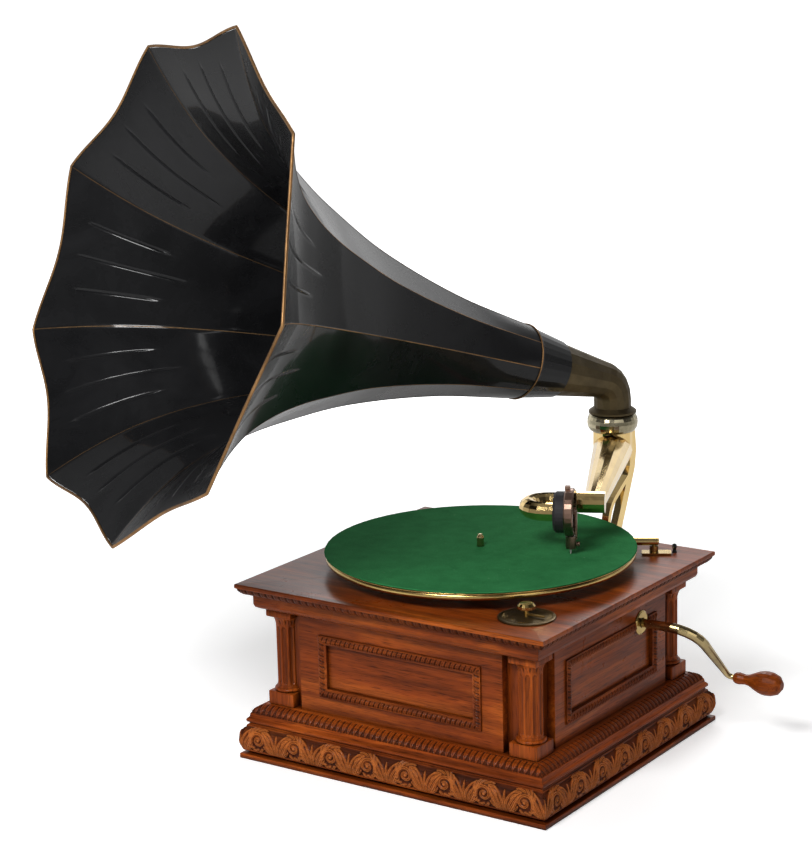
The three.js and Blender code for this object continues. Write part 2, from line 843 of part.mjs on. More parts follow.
// The sound box is drawn about the near branch: X back along the arm, Y up and Z out of the branch
function addSoundBox() {
  const box = new THREE.Group();
  box.position.copy(near_axis);
  const basis = new THREE.Matrix4().makeBasis(arm_heading.clone().negate(), up, cross_heading);
  box.quaternion.setFromRotationMatrix(basis);
  object.add(box);
  const flange_front = -box_place + flange_thickness;
  const case_back = flange_front + fit_gap;
  const case_front = case_back + box_thickness;
  const seat = neck_radius + fit_gap;
  const seat_end = -box_place + neck_seat + fit_gap;
  piece('sound_box_flange', turnedRing([
    [neck_bore, flange_front], [neck_bore, seat_end], [seat, seat_end], [seat, -box_place],
    [flange_radius - flange_edge, -box_place], [flange_radius, -box_place + flange_edge], [flange_radius, flange_front],
  ], ring_sides), rubber_black(), box);
  const face = case_front - diaphragm_depth;
  const shell = turnedRing([
    [neck_bore, case_back], [box_radius - box_edge, case_back], [box_radius, case_back + box_edge],
    [box_radius, case_front - box_edge], [box_radius - box_edge, case_front], [box_bore, case_front],
    [box_bore, face - diaphragm_thickness - fit_gap], [neck_bore, case_back + box_back_wall],
  ], ring_sides);
  const half = lug_width / 2;
  const lug = block(-half, half, box_radius - box_back_wall, box_radius + lug_height, case_back, case_back + lug_width);
  piece('sound_box_case', join(shell, lug), bronze(), box);
  piece('diaphragm', rod(box_bore - fit_gap, face - diaphragm_thickness, face, ring_sides), nickel(), box);
  addStylus(box, face, case_front, case_back + chuck_place);
}

// The stylus bar joins the diaphragm's middle to the needle holder under the case
function addStylus(box, face, case_front, chuck_z) {
  const chuck_top = -box_radius - fit_gap;
  const chuck_low = chuck_top - chuck_height;
  const half = bar_width / 2;
  const bar_back = case_front + fit_gap;
  const bar_front = bar_back + bar_thickness;
  const aim = at(Math.sin(radians(needle_lean)), Math.cos(radians(needle_lean)));
  const tip_y = felt_top + needle_lift - arm_height;
  const tip = at((tip_y - chuck_low) * Math.tan(radians(needle_lean)), tip_y, chuck_z);
  const screw_at = at(thumbscrew_rise * Math.tan(radians(needle_lean)), chuck_low + thumbscrew_rise, chuck_z);
  const shank = (radius, z0, z1) => rod(radius, z0, z1).translate(screw_at.x, screw_at.y, screw_at.z);
  const head_start = chuck_radius + fit_gap;
  const body = join(
    along(rod(chuck_radius, chuck_low, chuck_top, tube_sides), at(0, 1), at(0, 0, chuck_z)),
    block(-half, half, chuck_top - bar_width, chuck_top, chuck_z, bar_front),
    block(-half, half, chuck_top - bar_width, half, bar_back, bar_front),
    block(-half, half, -half, half, face + fit_gap, bar_front),
  );
  const needle_bore = along(rod(needle_radius + fit_gap, 0, needle_length + fit_gap), aim, tip);
  piece('stylus_bar', cut(body, needle_bore, shank(thumbscrew_shank + fit_gap, 0, head_start)), steel(), box);
  const needle = turned([
    [0, 0], [needle_tip_radius, 0], [needle_radius, needle_taper], [needle_radius, needle_length], [0, needle_length],
  ], rod_sides);
  piece('needle', along(needle, aim, tip), steel(), box);
  piece('needle_screw', join(
    shank(thumbscrew_shank, needle_radius + 2 * fit_gap, head_start + fit_gap),
    shank(thumbscrew_radius, head_start, head_start + thumbscrew_length),
  ), steel(), box);
}

// Elbow, which turns on the collar and carries the horn
const horn_flat = at(Math.cos(radians(horn_turn)), Math.sin(radians(horn_turn)));
const horn_heading = horn_flat.clone().multiplyScalar(Math.cos(radians(horn_rise)))
  .addScaledVector(up, Math.sin(radians(horn_rise)));
const horn_side = up.clone().cross(horn_flat);
const horn_top = horn_heading.clone().cross(horn_side);
const elbow_corner = at(0, collar_y, elbow_corner_height);

function addElbow() {
  const foot_low = collar_high + fit_gap;
  const foot_high = foot_low + elbow_foot_height;
  const seat_radius = sleeve_start_radius - sleeve_wall - fit_gap;
  const spigot_end = sleeve_start + sleeve_seat - fit_gap;
  const mouth = elbow_corner.clone().addScaledVector(horn_heading, sleeve_start - fit_gap);
  const swell = (trim) => ({ point }) => {
    const run = point.clone().sub(elbow_corner).dot(horn_heading) - elbow_bend;
    const share = THREE.MathUtils.clamp(run / (sleeve_start - fit_gap - elbow_bend), 0, 1);
    return lerp(elbow_radius, seat_radius, share) - trim;
  };
  const pipe = (low, trim) => tubeAlong(
    bentPath([at(0, collar_y, low), elbow_corner, mouth], [elbow_bend]), horn_side, swell(trim),
  );
  const nose = (radius, start, end) => along(rod(radius, start, end, tube_sides), horn_heading, elbow_corner);
  const foot = turned([
    [0, foot_low], [elbow_foot_radius, foot_low], [elbow_foot_radius, foot_high],
    [elbow_radius, foot_high + elbow_foot_flare], [0, foot_high + elbow_foot_flare],
  ], ring_sides);
  const spigot = rod(spigot_radius, foot_low - elbow_spigot_depth, foot_high, tube_sides);
  const spigot_bore = rod(spigot_radius - elbow_wall, foot_low - elbow_spigot_depth - overrun, foot_high + elbow_wall, tube_sides);
  const outside = join(
    pipe(foot_low, 0), movedTo(collar_place, foot), movedTo(collar_place, spigot),
    nose(seat_radius, sleeve_start - elbow_wall, spigot_end),
  );
  const inside = [
    pipe(foot_high, elbow_wall), movedTo(collar_place, spigot_bore),
    nose(seat_radius - elbow_wall, sleeve_start - 2 * elbow_wall, spigot_end + overrun),
  ];
  piece('elbow', cut(outside, ...inside), olive_bronze());
}

// Horn. Runs are measured along its axis from the elbow's corner.
function addHornSleeve() {
  const seat_radius = sleeve_start_radius - sleeve_wall;
  const ring_start = sleeve_end - sleeve_ring_width;
  const slope = (sleeve_end_radius - sleeve_start_radius) / (sleeve_end - sleeve_start);
  const bead = arcPoints(
    sleeve_end_radius, sleeve_end - sleeve_ring_width / 2, sleeve_ring_radius - sleeve_end_radius,
    sleeve_ring_width / 2, -90, 90, 4,
  );
  const sleeve = turnedRing([
    [seat_radius, sleeve_start], [sleeve_start_radius, sleeve_start],
    [sleeve_start_radius + slope * (ring_start - sleeve_start), ring_start], ...bead,
    [sleeve_end_radius - sleeve_wall, sleeve_end],
    [seat_radius + sleeve_wall, sleeve_start + sleeve_seat + sleeve_wall], [seat_radius, sleeve_start + sleeve_seat],
  ], ring_sides);
  piece('horn_sleeve', along(sleeve, horn_heading, elbow_corner), black_enamel());
}

// The horn's corner line, with its slope at each station
function flareLine() {
  const line = flare_shares.map(([run_share, radius_share]) => ({
    share: run_share,
    run: sleeve_end + fit_gap + horn_length * run_share,
    radius: lerp(horn_start_radius, mouth_radius, radius_share),
  }));
  return line.map((station, i) => {
    const before = line[Math.max(i - 1, 0)];
    const after = line[Math.min(i + 1, line.length - 1)];
    return { ...station, slope: Math.atan2(after.radius - before.radius, after.run - before.run) };
  });
}

function hornPoint(run, radius, angle) {
  return elbow_corner.clone().addScaledVector(horn_heading, run)
    .addScaledVector(horn_side, radius * Math.cos(angle))
    .addScaledVector(horn_top, radius * Math.sin(angle));
}

// One ring of the horn: round at the throat, nine flat sides on the way, hollowed sides at the mouth
function petalRing({ share, run, radius }) {
  const flat_share = Math.min(share / round_throat_share, 1);
  const wave = Math.max((share - petal_wave_share) / (1 - petal_wave_share), 0) ** 2;
  const half_petal = Math.PI / petal_count;
  return Array.from({ length: petal_count * petal_steps }, (_, k) => {
    const across = (k % petal_steps) / petal_steps;
    const belly = 4 * across * (1 - across);
    const chord = (radius * Math.cos(half_petal)) / Math.cos((2 * across - 1) * half_petal);
    const reach = lerp(radius, chord, flat_share) - rim_dip * wave * belly;
    const angle = radians(petal_phase) + (2 * half_petal * k) / petal_steps;
    return hornPoint(run - rim_set_back * wave * belly, reach, angle);
  });
}

function addHorn() {
  const line = flareLine();
  const inside = line.map(({ share, run, radius, slope }) => ({
    share,
    run: share ? run + horn_wall * Math.sin(slope) : run,
    radius: radius - horn_wall * Math.cos(slope),
  }));
  piece('horn', lofted([...line, ...inside.reverse()].map(petalRing), true), black_enamel());
  const end = line.at(-1);
  const reach = rim_bead_radius + fit_gap;
  const middle_run = end.run + reach * Math.cos(end.slope) + (horn_wall / 2) * Math.sin(end.slope);
  const middle_radius = end.radius + reach * Math.sin(end.slope) - (horn_wall / 2) * Math.cos(end.slope);
  const bead = arcPoints(middle_run, middle_radius, rim_bead_radius, rim_bead_radius, 0, 360, rim_bead_sides);
  const rings = bead.slice(1).map(([run, radius]) => petalRing({ share: 1, run, radius }));
  piece('horn_rim', lofted(rings, true), gilt());
}

// Bracket. Its outline is drawn in the plane of Y and Z and has a thickness along X.
function strapShape(shares, width) {
  const foot = new THREE.Vector2(wall_y + plate_thickness / 2, plate_low + plate_height / 2);
  const reach = new THREE.Vector2(collar_y + collar_radius, (collar_low + collar_high) / 2).sub(foot);
  const points = shares.map(([out, rise]) => new THREE.Vector2(foot.x + reach.x * out, foot.y + reach.y * rise));
  const curve = new THREE.SplineCurve(points);
  const edge = (side) => Array.from({ length: bracket_steps + 1 }, (_, i) => {
    const tangent = curve.getTangentAt(i / bracket_steps);
    const normal = new THREE.Vector2(-tangent.y, tangent.x).multiplyScalar((side * width) / 2);
    return curve.getPointAt(i / bracket_steps).add(normal);
  });
  return new THREE.Shape([...edge(1), ...edge(-1).reverse()]);
}

function addBracket() {
  const upright = new THREE.Matrix4().makeBasis(at(0, 1), up, at(1, 0));
  const half = bracket_thickness / 2;
  const strap = (shares, width) => extruded(strapShape(shares, width), -half, half).applyMatrix4(upright);
  const side = plate_width / 2;
  const plate = block(-side, side, wall_y, wall_y + plate_thickness, plate_low, plate_low + plate_height);
  const collar_space = rod(collar_radius + fit_gap, collar_low - overrun, collar_high + overrun, ring_sides);
  const sheet = join(strap(strap_shares, bracket_strap), strap(brace_shares, brace_strap), plate);
  piece('bracket', cut(sheet, movedTo(collar_place, collar_space)), brass());
}

// Speed regulator. Its stem ends in a small cam that swings the governor's lever.
const dial_place = at(dial_x, dial_y);
const lever_place = at(lever_x, lever_y);
const to_lever = lever_place.clone().sub(dial_place).normalize();
const cam_place = dial_place.clone().addScaledVector(to_lever, cam_offset);
const cam_low = (lever_low + lever_top - cam_thickness) / 2;

function addRegulator() {
  const knob_low = knob_top - knob_height;
  const bore = stem_radius + fit_gap;
  const dial_top = case_height + dial_thickness;
  const dial = turnedRing([
    [bore, case_height], [dial_radius, case_height], [dial_radius, case_height + dial_thickness / 2],
    [dial_radius - dial_thickness, dial_top], [bore, dial_top],
  ], ring_sides);
  piece('speed_dial', movedTo(dial_place, dial), brass());
  const cap = turned([
    [0, knob_low], [knob_radius, knob_low], [knob_radius, (knob_low + knob_top) / 2],
    [knob_top_radius, knob_top], [0, knob_top],
  ], tube_sides);
  const pointer_low = dial_top + pointer_thickness;
  const half = pointer_width / 2;
  const pointer = block(0, pointer_length, -half, half, pointer_low, pointer_low + pointer_thickness);
  const cam = rod(cam_radius, cam_low, cam_low + cam_thickness);
  piece('speed_knob', join(
    movedTo(dial_place, cap), movedTo(dial_place, rod(stem_radius, cam_low, (knob_low + knob_top) / 2)),
    movedTo(dial_place, pointer), movedTo(cam_place, cam),
  ), black_enamel());
}

// Brake, drawn about its post with X along the lever
function addBrake() {
  const brake = new THREE.Group();
  brake.position.set(brake_x, brake_y, 0);
  brake.rotation.z = radians(brake_turn);
  object.add(brake);
  const half = brake_plate_width / 2;
  const plate_top = case_height + brake_plate_thickness;
  const bar_low = brake_height - brake_lever_radius;
  const plate = join(
    block(-brake_plate_left, brake_plate_right, -half, half, case_height, plate_top),
    rod(brake_post_foot, plate_top - fit_gap, bar_low - fit_gap, tube_sides),
    rod(brake_post_radius, plate_top - fit_gap, brake_height, tube_sides),
  );
  piece('brake_plate', plate, nickel(), brake);
  const bar = turned([
    [0, -brake_lever_left], [brake_lever_radius - brake_lever_round, -brake_lever_left],
    [brake_lever_radius, -brake_lever_left + brake_lever_round],
    [brake_lever_radius, brake_lever_right - brake_lever_round],
    [brake_lever_radius - brake_lever_round, brake_lever_right], [0, brake_lever_right],
  ], tube_sides);
  const bore = rod(brake_post_radius + fit_gap, bar_low - overrun, brake_height + fit_gap, tube_sides);
  piece('brake_lever', cut(along(bar, at(1, 0), at(0, 0, brake_height)), bore), brass(), brake);
  const peg = turned([
    [0, case_height], ...peg_shares.map(([rise, radius]) => [peg_radius * radius, case_height + peg_height * rise]),
    [0, case_height + peg_height],
  ], rod_sides);
  piece('brake_peg', peg.translate(peg_x, peg_y, 0), black_enamel(), brake);
}

// Crank
const crank_start = at(wall_x + escutcheon_thickness, crank_y, crank_z);

function addCrank() {
  const arm_out = radians(crank_angle);
  const corner = crank_start.clone().add(at(crank_straight, 0));
  const end = corner.clone().add(at(crank_lean, crank_throw * Math.cos(arm_out), crank_throw * Math.sin(arm_out)));
  const foot = end.clone().add(at(crank_foot, 0));
  const across = at(0, Math.sin(arm_out), -Math.cos(arm_out));
  const arm = tubeAlong(
    bentPath([crank_start, corner, end, foot], [crank_bend, crank_foot_bend]), across,
    ({ share }) => lerp(crank_radius, crank_end_radius, share * share) + crank_swell * Math.sin(Math.PI * share),
  );
  const pin = along(rod(pin_radius, -crank_foot / 2, pin_length), at(1, 0), foot);
  piece('crank', join(arm, pin), iron());
  const bore = pin_radius + fit_gap;
  const bore_end = pin_length + fit_gap;
  const handle = turned([
    [0, bore_end], [bore, bore_end], [bore, fit_gap],
    ...handle_shares.map(([run, radius]) => [radius * handle_radius, fit_gap + run * handle_length]),
    [0, fit_gap + handle_length],
  ], tube_sides);
  piece('crank_handle', along(handle, at(1, 0), foot), oak());
  const plate = turnedRing([
    [shaft_hole_radius, 0], [escutcheon_radius, 0], [escutcheon_radius, escutcheon_thickness / 2],
    [escutcheon_radius - escutcheon_thickness, escutcheon_thickness], [shaft_hole_radius, escutcheon_thickness],
  ], tube_sides);
  piece('escutcheon', along(plate, at(1, 0), at(wall_x, crank_y, crank_z)), brass());
}

// Spring motor
function gearShape(teeth, module, phase, tip_radius = (module * teeth) / 2 + module * addendum_share) {
  const root_radius = (module * teeth) / 2 - module * dedendum_share;
  const pitch = (2 * Math.PI) / teeth;
  const outline = [];
  for (let tooth = 0; tooth < teeth; tooth += 1) {
    [
      [root_radius, -root_tooth_share], [tip_radius, -tip_tooth_share],
      [tip_radius, tip_tooth_share], [root_radius, root_tooth_share],
    ].forEach(([radius, share]) => {
      const angle = phase + pitch * (tooth + share / 2);
      outline.push(new THREE.Vector2(radius * Math.cos(angle), radius * Math.sin(angle)));
    });
  }
  return new THREE.Shape(outline);
}

const barrel_place = at(barrel_x, crank_y);
const barrel_low = great_low + great_thickness;
const barrel_top = barrel_low + barrel_height;
const crown_module = (crown_inner + crown_outer) / crown_teeth;
const governor_y = spindle_y - worm_wheel_radius - worm_radius - worm_clearance;
const pad_place = at(disc_x + disc_thickness / 2 + pad_gap + pad_radius, governor_y);

// The intermediate arbor stands where both of its gears meet their partners
function middlePlace() {
  const to_barrel = (great_module * (great_teeth + pinion_teeth)) / 2;
  const to_spindle = (train_module * (train_teeth + pinion_teeth)) / 2;
  const span = barrel_place.clone().sub(spindle_place);
  const run = (to_spindle ** 2 - to_barrel ** 2 + span.lengthSq()) / (2 * span.length());
  const off = Math.sqrt(to_spindle ** 2 - run ** 2);
  const line = span.clone().normalize();
  return spindle_place.clone().addScaledVector(line, run).addScaledVector(up.clone().cross(line), off);
}

const middle_place = middlePlace();
const bearing = (from, to) => Math.atan2(to.y - from.y, to.x - from.x);

function arbor(radius) {
  return join(
    rod(radius, lower_plate_top + fit_gap, motor_under - fit_gap),
    rod(pivot_radius, lower_plate_top - pivot_depth, motor_under + pivot_depth),
  );
}

function addSpindle() {
  const wheel_low = governor_z - worm_wheel_thickness / 2;
  const worm_module = (2 * worm_wheel_radius) / worm_wheel_teeth;
  const pinion_phase = bearing(spindle_place, middle_place) + Math.PI / pinion_teeth;
  const pinion = gearShape(pinion_teeth, train_module, pinion_phase);
  const collar_start = hub_low - spindle_collar_height;
  const shaft = turned([
    [0, lower_plate_top - pivot_depth], [pivot_radius, lower_plate_top - pivot_depth],
    [pivot_radius, lower_plate_top + fit_gap], [spindle_radius, lower_plate_top + fit_gap],
    [spindle_radius, collar_start], [spindle_collar_radius, collar_start], [spindle_collar_radius, hub_low],
    [spindle_radius, hub_low], [spindle_radius, spindle_top - spindle_radius],
    [spindle_radius / 2, spindle_top], [0, spindle_top],
  ], tube_sides);
  piece('spindle', movedTo(spindle_place, join(
    shaft, extruded(pinion, train_low - pinion_overhang, train_low + train_thickness + pinion_overhang),
    extruded(gearShape(worm_wheel_teeth, worm_module, 0, worm_wheel_radius), wheel_low, wheel_low + worm_wheel_thickness),
  )), steel());
}

function addMiddleArbor() {
  const wheel = gearShape(train_teeth, train_module, bearing(middle_place, spindle_place));
  const pinion_phase = bearing(middle_place, barrel_place) + Math.PI / pinion_teeth;
  const pinion = gearShape(pinion_teeth, great_module, pinion_phase);
  piece('intermediate_arbor', movedTo(middle_place, join(
    arbor(middle_arbor_radius), extruded(wheel, train_low, train_low + train_thickness),
    extruded(pinion, great_low - pinion_overhang, great_low + great_thickness + pinion_overhang),
  )), steel());
}

// The spring's band winds inwards at a steady rate, clear of the drum and of the arbor
function springShape() {
  const outer = barrel_radius - barrel_wall - spring_margin;
  const inner = arbor_radius + spring_margin + spring_thickness;
  const count = spring_turns * spring_steps;
  const edge = (offset) => Array.from({ length: count + 1 }, (_, i) => {
    const angle = (2 * Math.PI * i) / spring_steps;
    const radius = lerp(inner, outer, i / count) + offset;
    return new THREE.Vector2(radius * Math.cos(angle), radius * Math.sin(angle));
  });
  return new THREE.Shape([...edge(0), ...edge(-spring_thickness).reverse()]);
}

function addBarrel() {
  const bore = arbor_radius + fit_gap;
  const cover_low = barrel_top - barrel_wall;
  const inner = barrel_radius - barrel_wall;
  const drum = turnedRing([
    [bore, barrel_low], [barrel_radius, barrel_low], [barrel_radius, cover_low], [inner, cover_low],
    [inner, barrel_low + barrel_wall], [bore, barrel_low + barrel_wall],
  ], ring_sides);
  const wheel = gearShape(great_teeth, great_module, bearing(barrel_place, middle_place));
  wheel.holes.push(new THREE.Path().absarc(0, 0, bore, 0, 2 * Math.PI));
  const great = extruded(wheel, great_low, barrel_low);
  piece('barrel', movedTo(barrel_place, join(great, drum)), brass());
  const cover = turnedRing([
    [bore, cover_low], [barrel_radius, cover_low], [barrel_radius, barrel_top], [bore, barrel_top],
  ], ring_sides);
  piece('barrel_cover', movedTo(barrel_place, cover), steel());
  const spring = extruded(springShape(), barrel_low + barrel_wall + fit_gap, cover_low - fit_gap);
  piece('mainspring', movedTo(barrel_place, spring), steel());
}

// The crown wheel's upright teeth mesh with the winding shaft's pinion
function addBarrelArbor() {
  const pitch_radius = (crown_inner + crown_outer) / 2;
  const pitch_z = crank_z - (crown_module * winding_teeth) / 2;
  const root_z = pitch_z - crown_module * dedendum_share;
  const tip_z = pitch_z + crown_module * addendum_share;
  const half_tooth = (crown_tooth_share * Math.PI * pitch_radius) / crown_teeth;
  const teeth = Array.from({ length: crown_teeth }, (_, k) => {
    const tooth = block(crown_inner, crown_outer, -half_tooth, half_tooth, root_z - fit_gap, tip_z);
    return tooth.rotateZ((2 * Math.PI * (k + 1 / 2)) / crown_teeth);
  });
  const wheel = rod(crown_outer, root_z - crown_rim, root_z, ring_sides);
  piece('barrel_arbor', movedTo(barrel_place, join(arbor(arbor_radius), wheel, ...teeth)), steel());
}

function addWindingShaft() {
  const pinion = extruded(gearShape(winding_teeth, crown_module, 0), barrel_x + crown_inner, barrel_x + crown_outer);
  const shaft = rod(winding_radius, inner_hanger_x, crank_start.x, tube_sides);
  piece('winding_shaft', along(join(shaft, pinion), at(1, 0), at(0, crank_y, crank_z)), steel());
}

// Motor plates. Hangers carry the winding shaft and the governor under the upper plate.
function hanger(x, y, z, radius) {
  const half = hanger_width / 2;
  const bore = radius + fit_gap;
  const body = block(x, x + hanger_thickness, y - half, y + half, z - bore - hanger_edge, motor_under + fit_gap);
  const hole = along(rod(bore, x - overrun, x + hanger_thickness + overrun, tube_sides), at(1, 0), at(0, y, z));
  return cut(body, hole);
}

function addMotorPlates() {
  const pillar_places = [motor_left + pillar_inset, motor_right - pillar_inset]
    .flatMap((x) => [motor_front + pillar_inset, motor_back - pillar_inset].map((y) => at(x, y)));
  const pillars = (z0, z1) => pillar_places.map((place) => movedTo(place, rod(pillar_radius, z0, z1)));
  const bore = (place, radius, z0, z1) => movedTo(place, rod(radius + fit_gap, z0 - overrun, z1 + overrun));
  const upper_bore = (place, radius) => bore(place, radius, motor_under, motor_plate_top);
  const lower_bore = (place) => bore(place, pivot_radius, lower_plate_low, lower_plate_top);
  const upper = join(
    block(motor_left, motor_right, motor_front, motor_back, motor_under, motor_plate_top),
    ...pillars(motor_plate_top - fit_gap, top_under),
    hanger(inner_hanger_x, crank_y, crank_z, winding_radius),
    hanger(winding_hanger_x, crank_y, crank_z, winding_radius),
    hanger(governor_left, governor_y, governor_z, governor_radius),
    hanger(governor_right - hanger_thickness, governor_y, governor_z, governor_radius),
    movedTo(lever_place, rod(lever_stud_radius, motor_plate_top - fit_gap, lever_top + lever_stud_rise)),
  );
  piece('motor_plate', cut(
    upper, upper_bore(barrel_place, pivot_radius), upper_bore(middle_place, pivot_radius),
    upper_bore(spindle_place, spindle_radius), upper_bore(pad_place, pad_radius + pad_play),
  ), iron());
  const lower = join(
    block(motor_left, motor_right, motor_front, motor_back, lower_plate_low, lower_plate_top),
    ...pillars(lower_plate_top - fit_gap, motor_under),
  );
  const lower_bores = [lower_bore(barrel_place), lower_bore(middle_place), lower_bore(spindle_place)];
  piece('motor_lower_plate', cut(lower, ...lower_bores), iron());
}

// Governor, drawn along Z and laid along X: worm, three sprung weights and a friction disc
function addGovernor() {
  const worm = [];
  for (let rib = 0; rib < worm_ribs; rib += 1) {
    const low = (rib - worm_ribs / 2) * worm_pitch;
    worm.push([worm_radius - worm_groove, low], [worm_radius, low + worm_pitch / 2]);
  }
  const worm_end = (worm_ribs * worm_pitch) / 2;
  const shaft = turned([
    [0, governor_left], [governor_radius, governor_left], [governor_radius, -worm_end], ...worm,
    [worm_radius - worm_groove, worm_end], [governor_radius, worm_end],
    [governor_radius, governor_right], [0, governor_right],
  ], rod_sides);
  const hub = (z) => rod(governor_hub_radius, z - governor_hub_length / 2, z + governor_hub_length / 2);
  const arms = Array.from({ length: weight_count }, (_, k) => {
    const half = leaf_width / 2;
    const leaf = (z0, z1, r0, r1) => {
      const rings = [[z0, r0], [z1, r1]].map(([z, r]) => [
        at(r, -half, z), at(r + leaf_thickness, -half, z), at(r + leaf_thickness, half, z), at(r, half, z),
      ]);
      return lofted(rings);
    };
    const foot = governor_hub_radius - leaf_thickness;
    const inner = weight_place - leaf_thickness / 2;
    const ball = new THREE.SphereGeometry(weight_radius, rod_sides, rod_sides / 2).translate(weight_place, 0, weight_x);
    const arm = join(
      ball, leaf(weight_x - weight_reach, weight_x, foot, inner), leaf(weight_x, weight_x + weight_reach, inner, foot),
    );
    return arm.rotateZ((2 * Math.PI * k) / weight_count);
  });
  const disc = rod(disc_radius, disc_x - disc_thickness / 2, disc_x + disc_thickness / 2, ring_sides);
  const whole = join(shaft, hub(weight_x - weight_reach), hub(weight_x + weight_reach), disc, ...arms);
  piece('governor', along(whole, at(1, 0), at(0, governor_y, governor_z)), steel());
}

// The lever's pad reaches down beside the friction disc, its ring goes round the regulator's cam
function addGovernorLever() {
  const half = lever_width / 2;
  const strip = (to) => {
    const bar = block(0, lever_place.distanceTo(to), -half, half, lever_low, lever_top);
    return movedTo(lever_place, bar.rotateZ(bearing(lever_place, to)));
  };
  const disc = (place, radius) => movedTo(place, rod(radius, lever_low, lever_top, tube_sides));
  const hole = (place, radius) => movedTo(place, rod(radius, lever_low - overrun, lever_top + overrun, tube_sides));
  const ring_bore = cam_radius + cam_clearance;
  const pad = movedTo(pad_place, rod(pad_radius, governor_z + disc_radius / 2, lever_top));
  piece('governor_lever', cut(
    join(
      strip(pad_place), strip(dial_place), disc(lever_place, lever_boss_radius),
      disc(dial_place, ring_bore + lever_rim), disc(pad_place, half), pad,
    ),
    hole(dial_place, ring_bore), hole(lever_place, lever_stud_radius + fit_gap),
  ), steel());
}

addBoards();
addSides();
addCorners();
addTurntable();
addSpindle();
addCollar();
addBracket();
addToneArm();
addGooseneck();
addSoundBox();
addElbow();
addHornSleeve();
addHorn();
addRegulator();
addBrake();
addCrank();
addMotorPlates();
addBarrel();
addBarrelArbor();
addMiddleArbor();
addWindingShaft();
addGovernor();
addGovernorLever();

export default object;
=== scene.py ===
"""Looks of the disc phonograph: carved wooden case, felt turntable, brass arm and black panelled horn."""
import math

import bmesh
import bpy
import numpy as np
from mathutils import Matrix, Vector

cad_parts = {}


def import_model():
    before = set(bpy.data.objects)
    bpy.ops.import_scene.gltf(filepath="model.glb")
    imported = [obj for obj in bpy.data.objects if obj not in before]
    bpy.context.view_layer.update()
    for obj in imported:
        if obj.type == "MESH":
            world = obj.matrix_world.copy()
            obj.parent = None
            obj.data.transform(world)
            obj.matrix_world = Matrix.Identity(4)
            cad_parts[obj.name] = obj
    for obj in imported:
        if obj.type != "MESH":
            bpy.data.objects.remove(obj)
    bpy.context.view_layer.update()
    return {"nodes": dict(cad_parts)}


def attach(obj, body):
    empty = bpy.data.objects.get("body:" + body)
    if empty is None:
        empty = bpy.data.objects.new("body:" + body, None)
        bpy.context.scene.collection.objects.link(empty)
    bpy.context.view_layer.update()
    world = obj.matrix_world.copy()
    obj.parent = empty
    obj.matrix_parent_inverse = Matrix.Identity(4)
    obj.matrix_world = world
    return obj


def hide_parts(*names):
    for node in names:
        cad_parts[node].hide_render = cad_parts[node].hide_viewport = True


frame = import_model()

nodes = frame["nodes"]
scene = bpy.context.scene

# Sizes are in millimetres, as in the CAD, until a mesh is made
METRES = 0.001
HALF_WIDTH, HALF_DEPTH = 173.5, 163.5
BOARD_LOW, BOARD_TOP, BOARD_MARGIN = 164.6, 177.0, 60
PLINTH_TOP = 53.5
MITRE_GAP = 0.15
TORUS_CUT, LEAF_CUT, EDGE_CUT, FRAME_CUT, FLUTE_CUT = 2.3, 1.0, 1.3, 1.25, 1.5
LEAF_PITCH, EDGE_PITCH, FRAME_PITCH = 6.6, 8.0, 5.4
PANEL_FACE, PANEL_MIDDLE, PANEL_HALF_HEIGHT = 24.0, 101.75, 31.0
FRAME_WIDTH, FRAME_HEIGHT = 9.0, 3.4
CRANK_PLACE, ESCUTCHEON_REACH = (56.0, 129.5), 12.4
COLUMN_INSET, POST_EDGE, PEDESTAL_HALF, SHAFT_RADIUS = 35.6, 32.0, 14.8, 11.4
SPINDLE_Y = 5.0
DIAL_PLACE, DIAL_RADIUS, DIAL_TOP = (124.3, -111.4), 26.7, 178.45


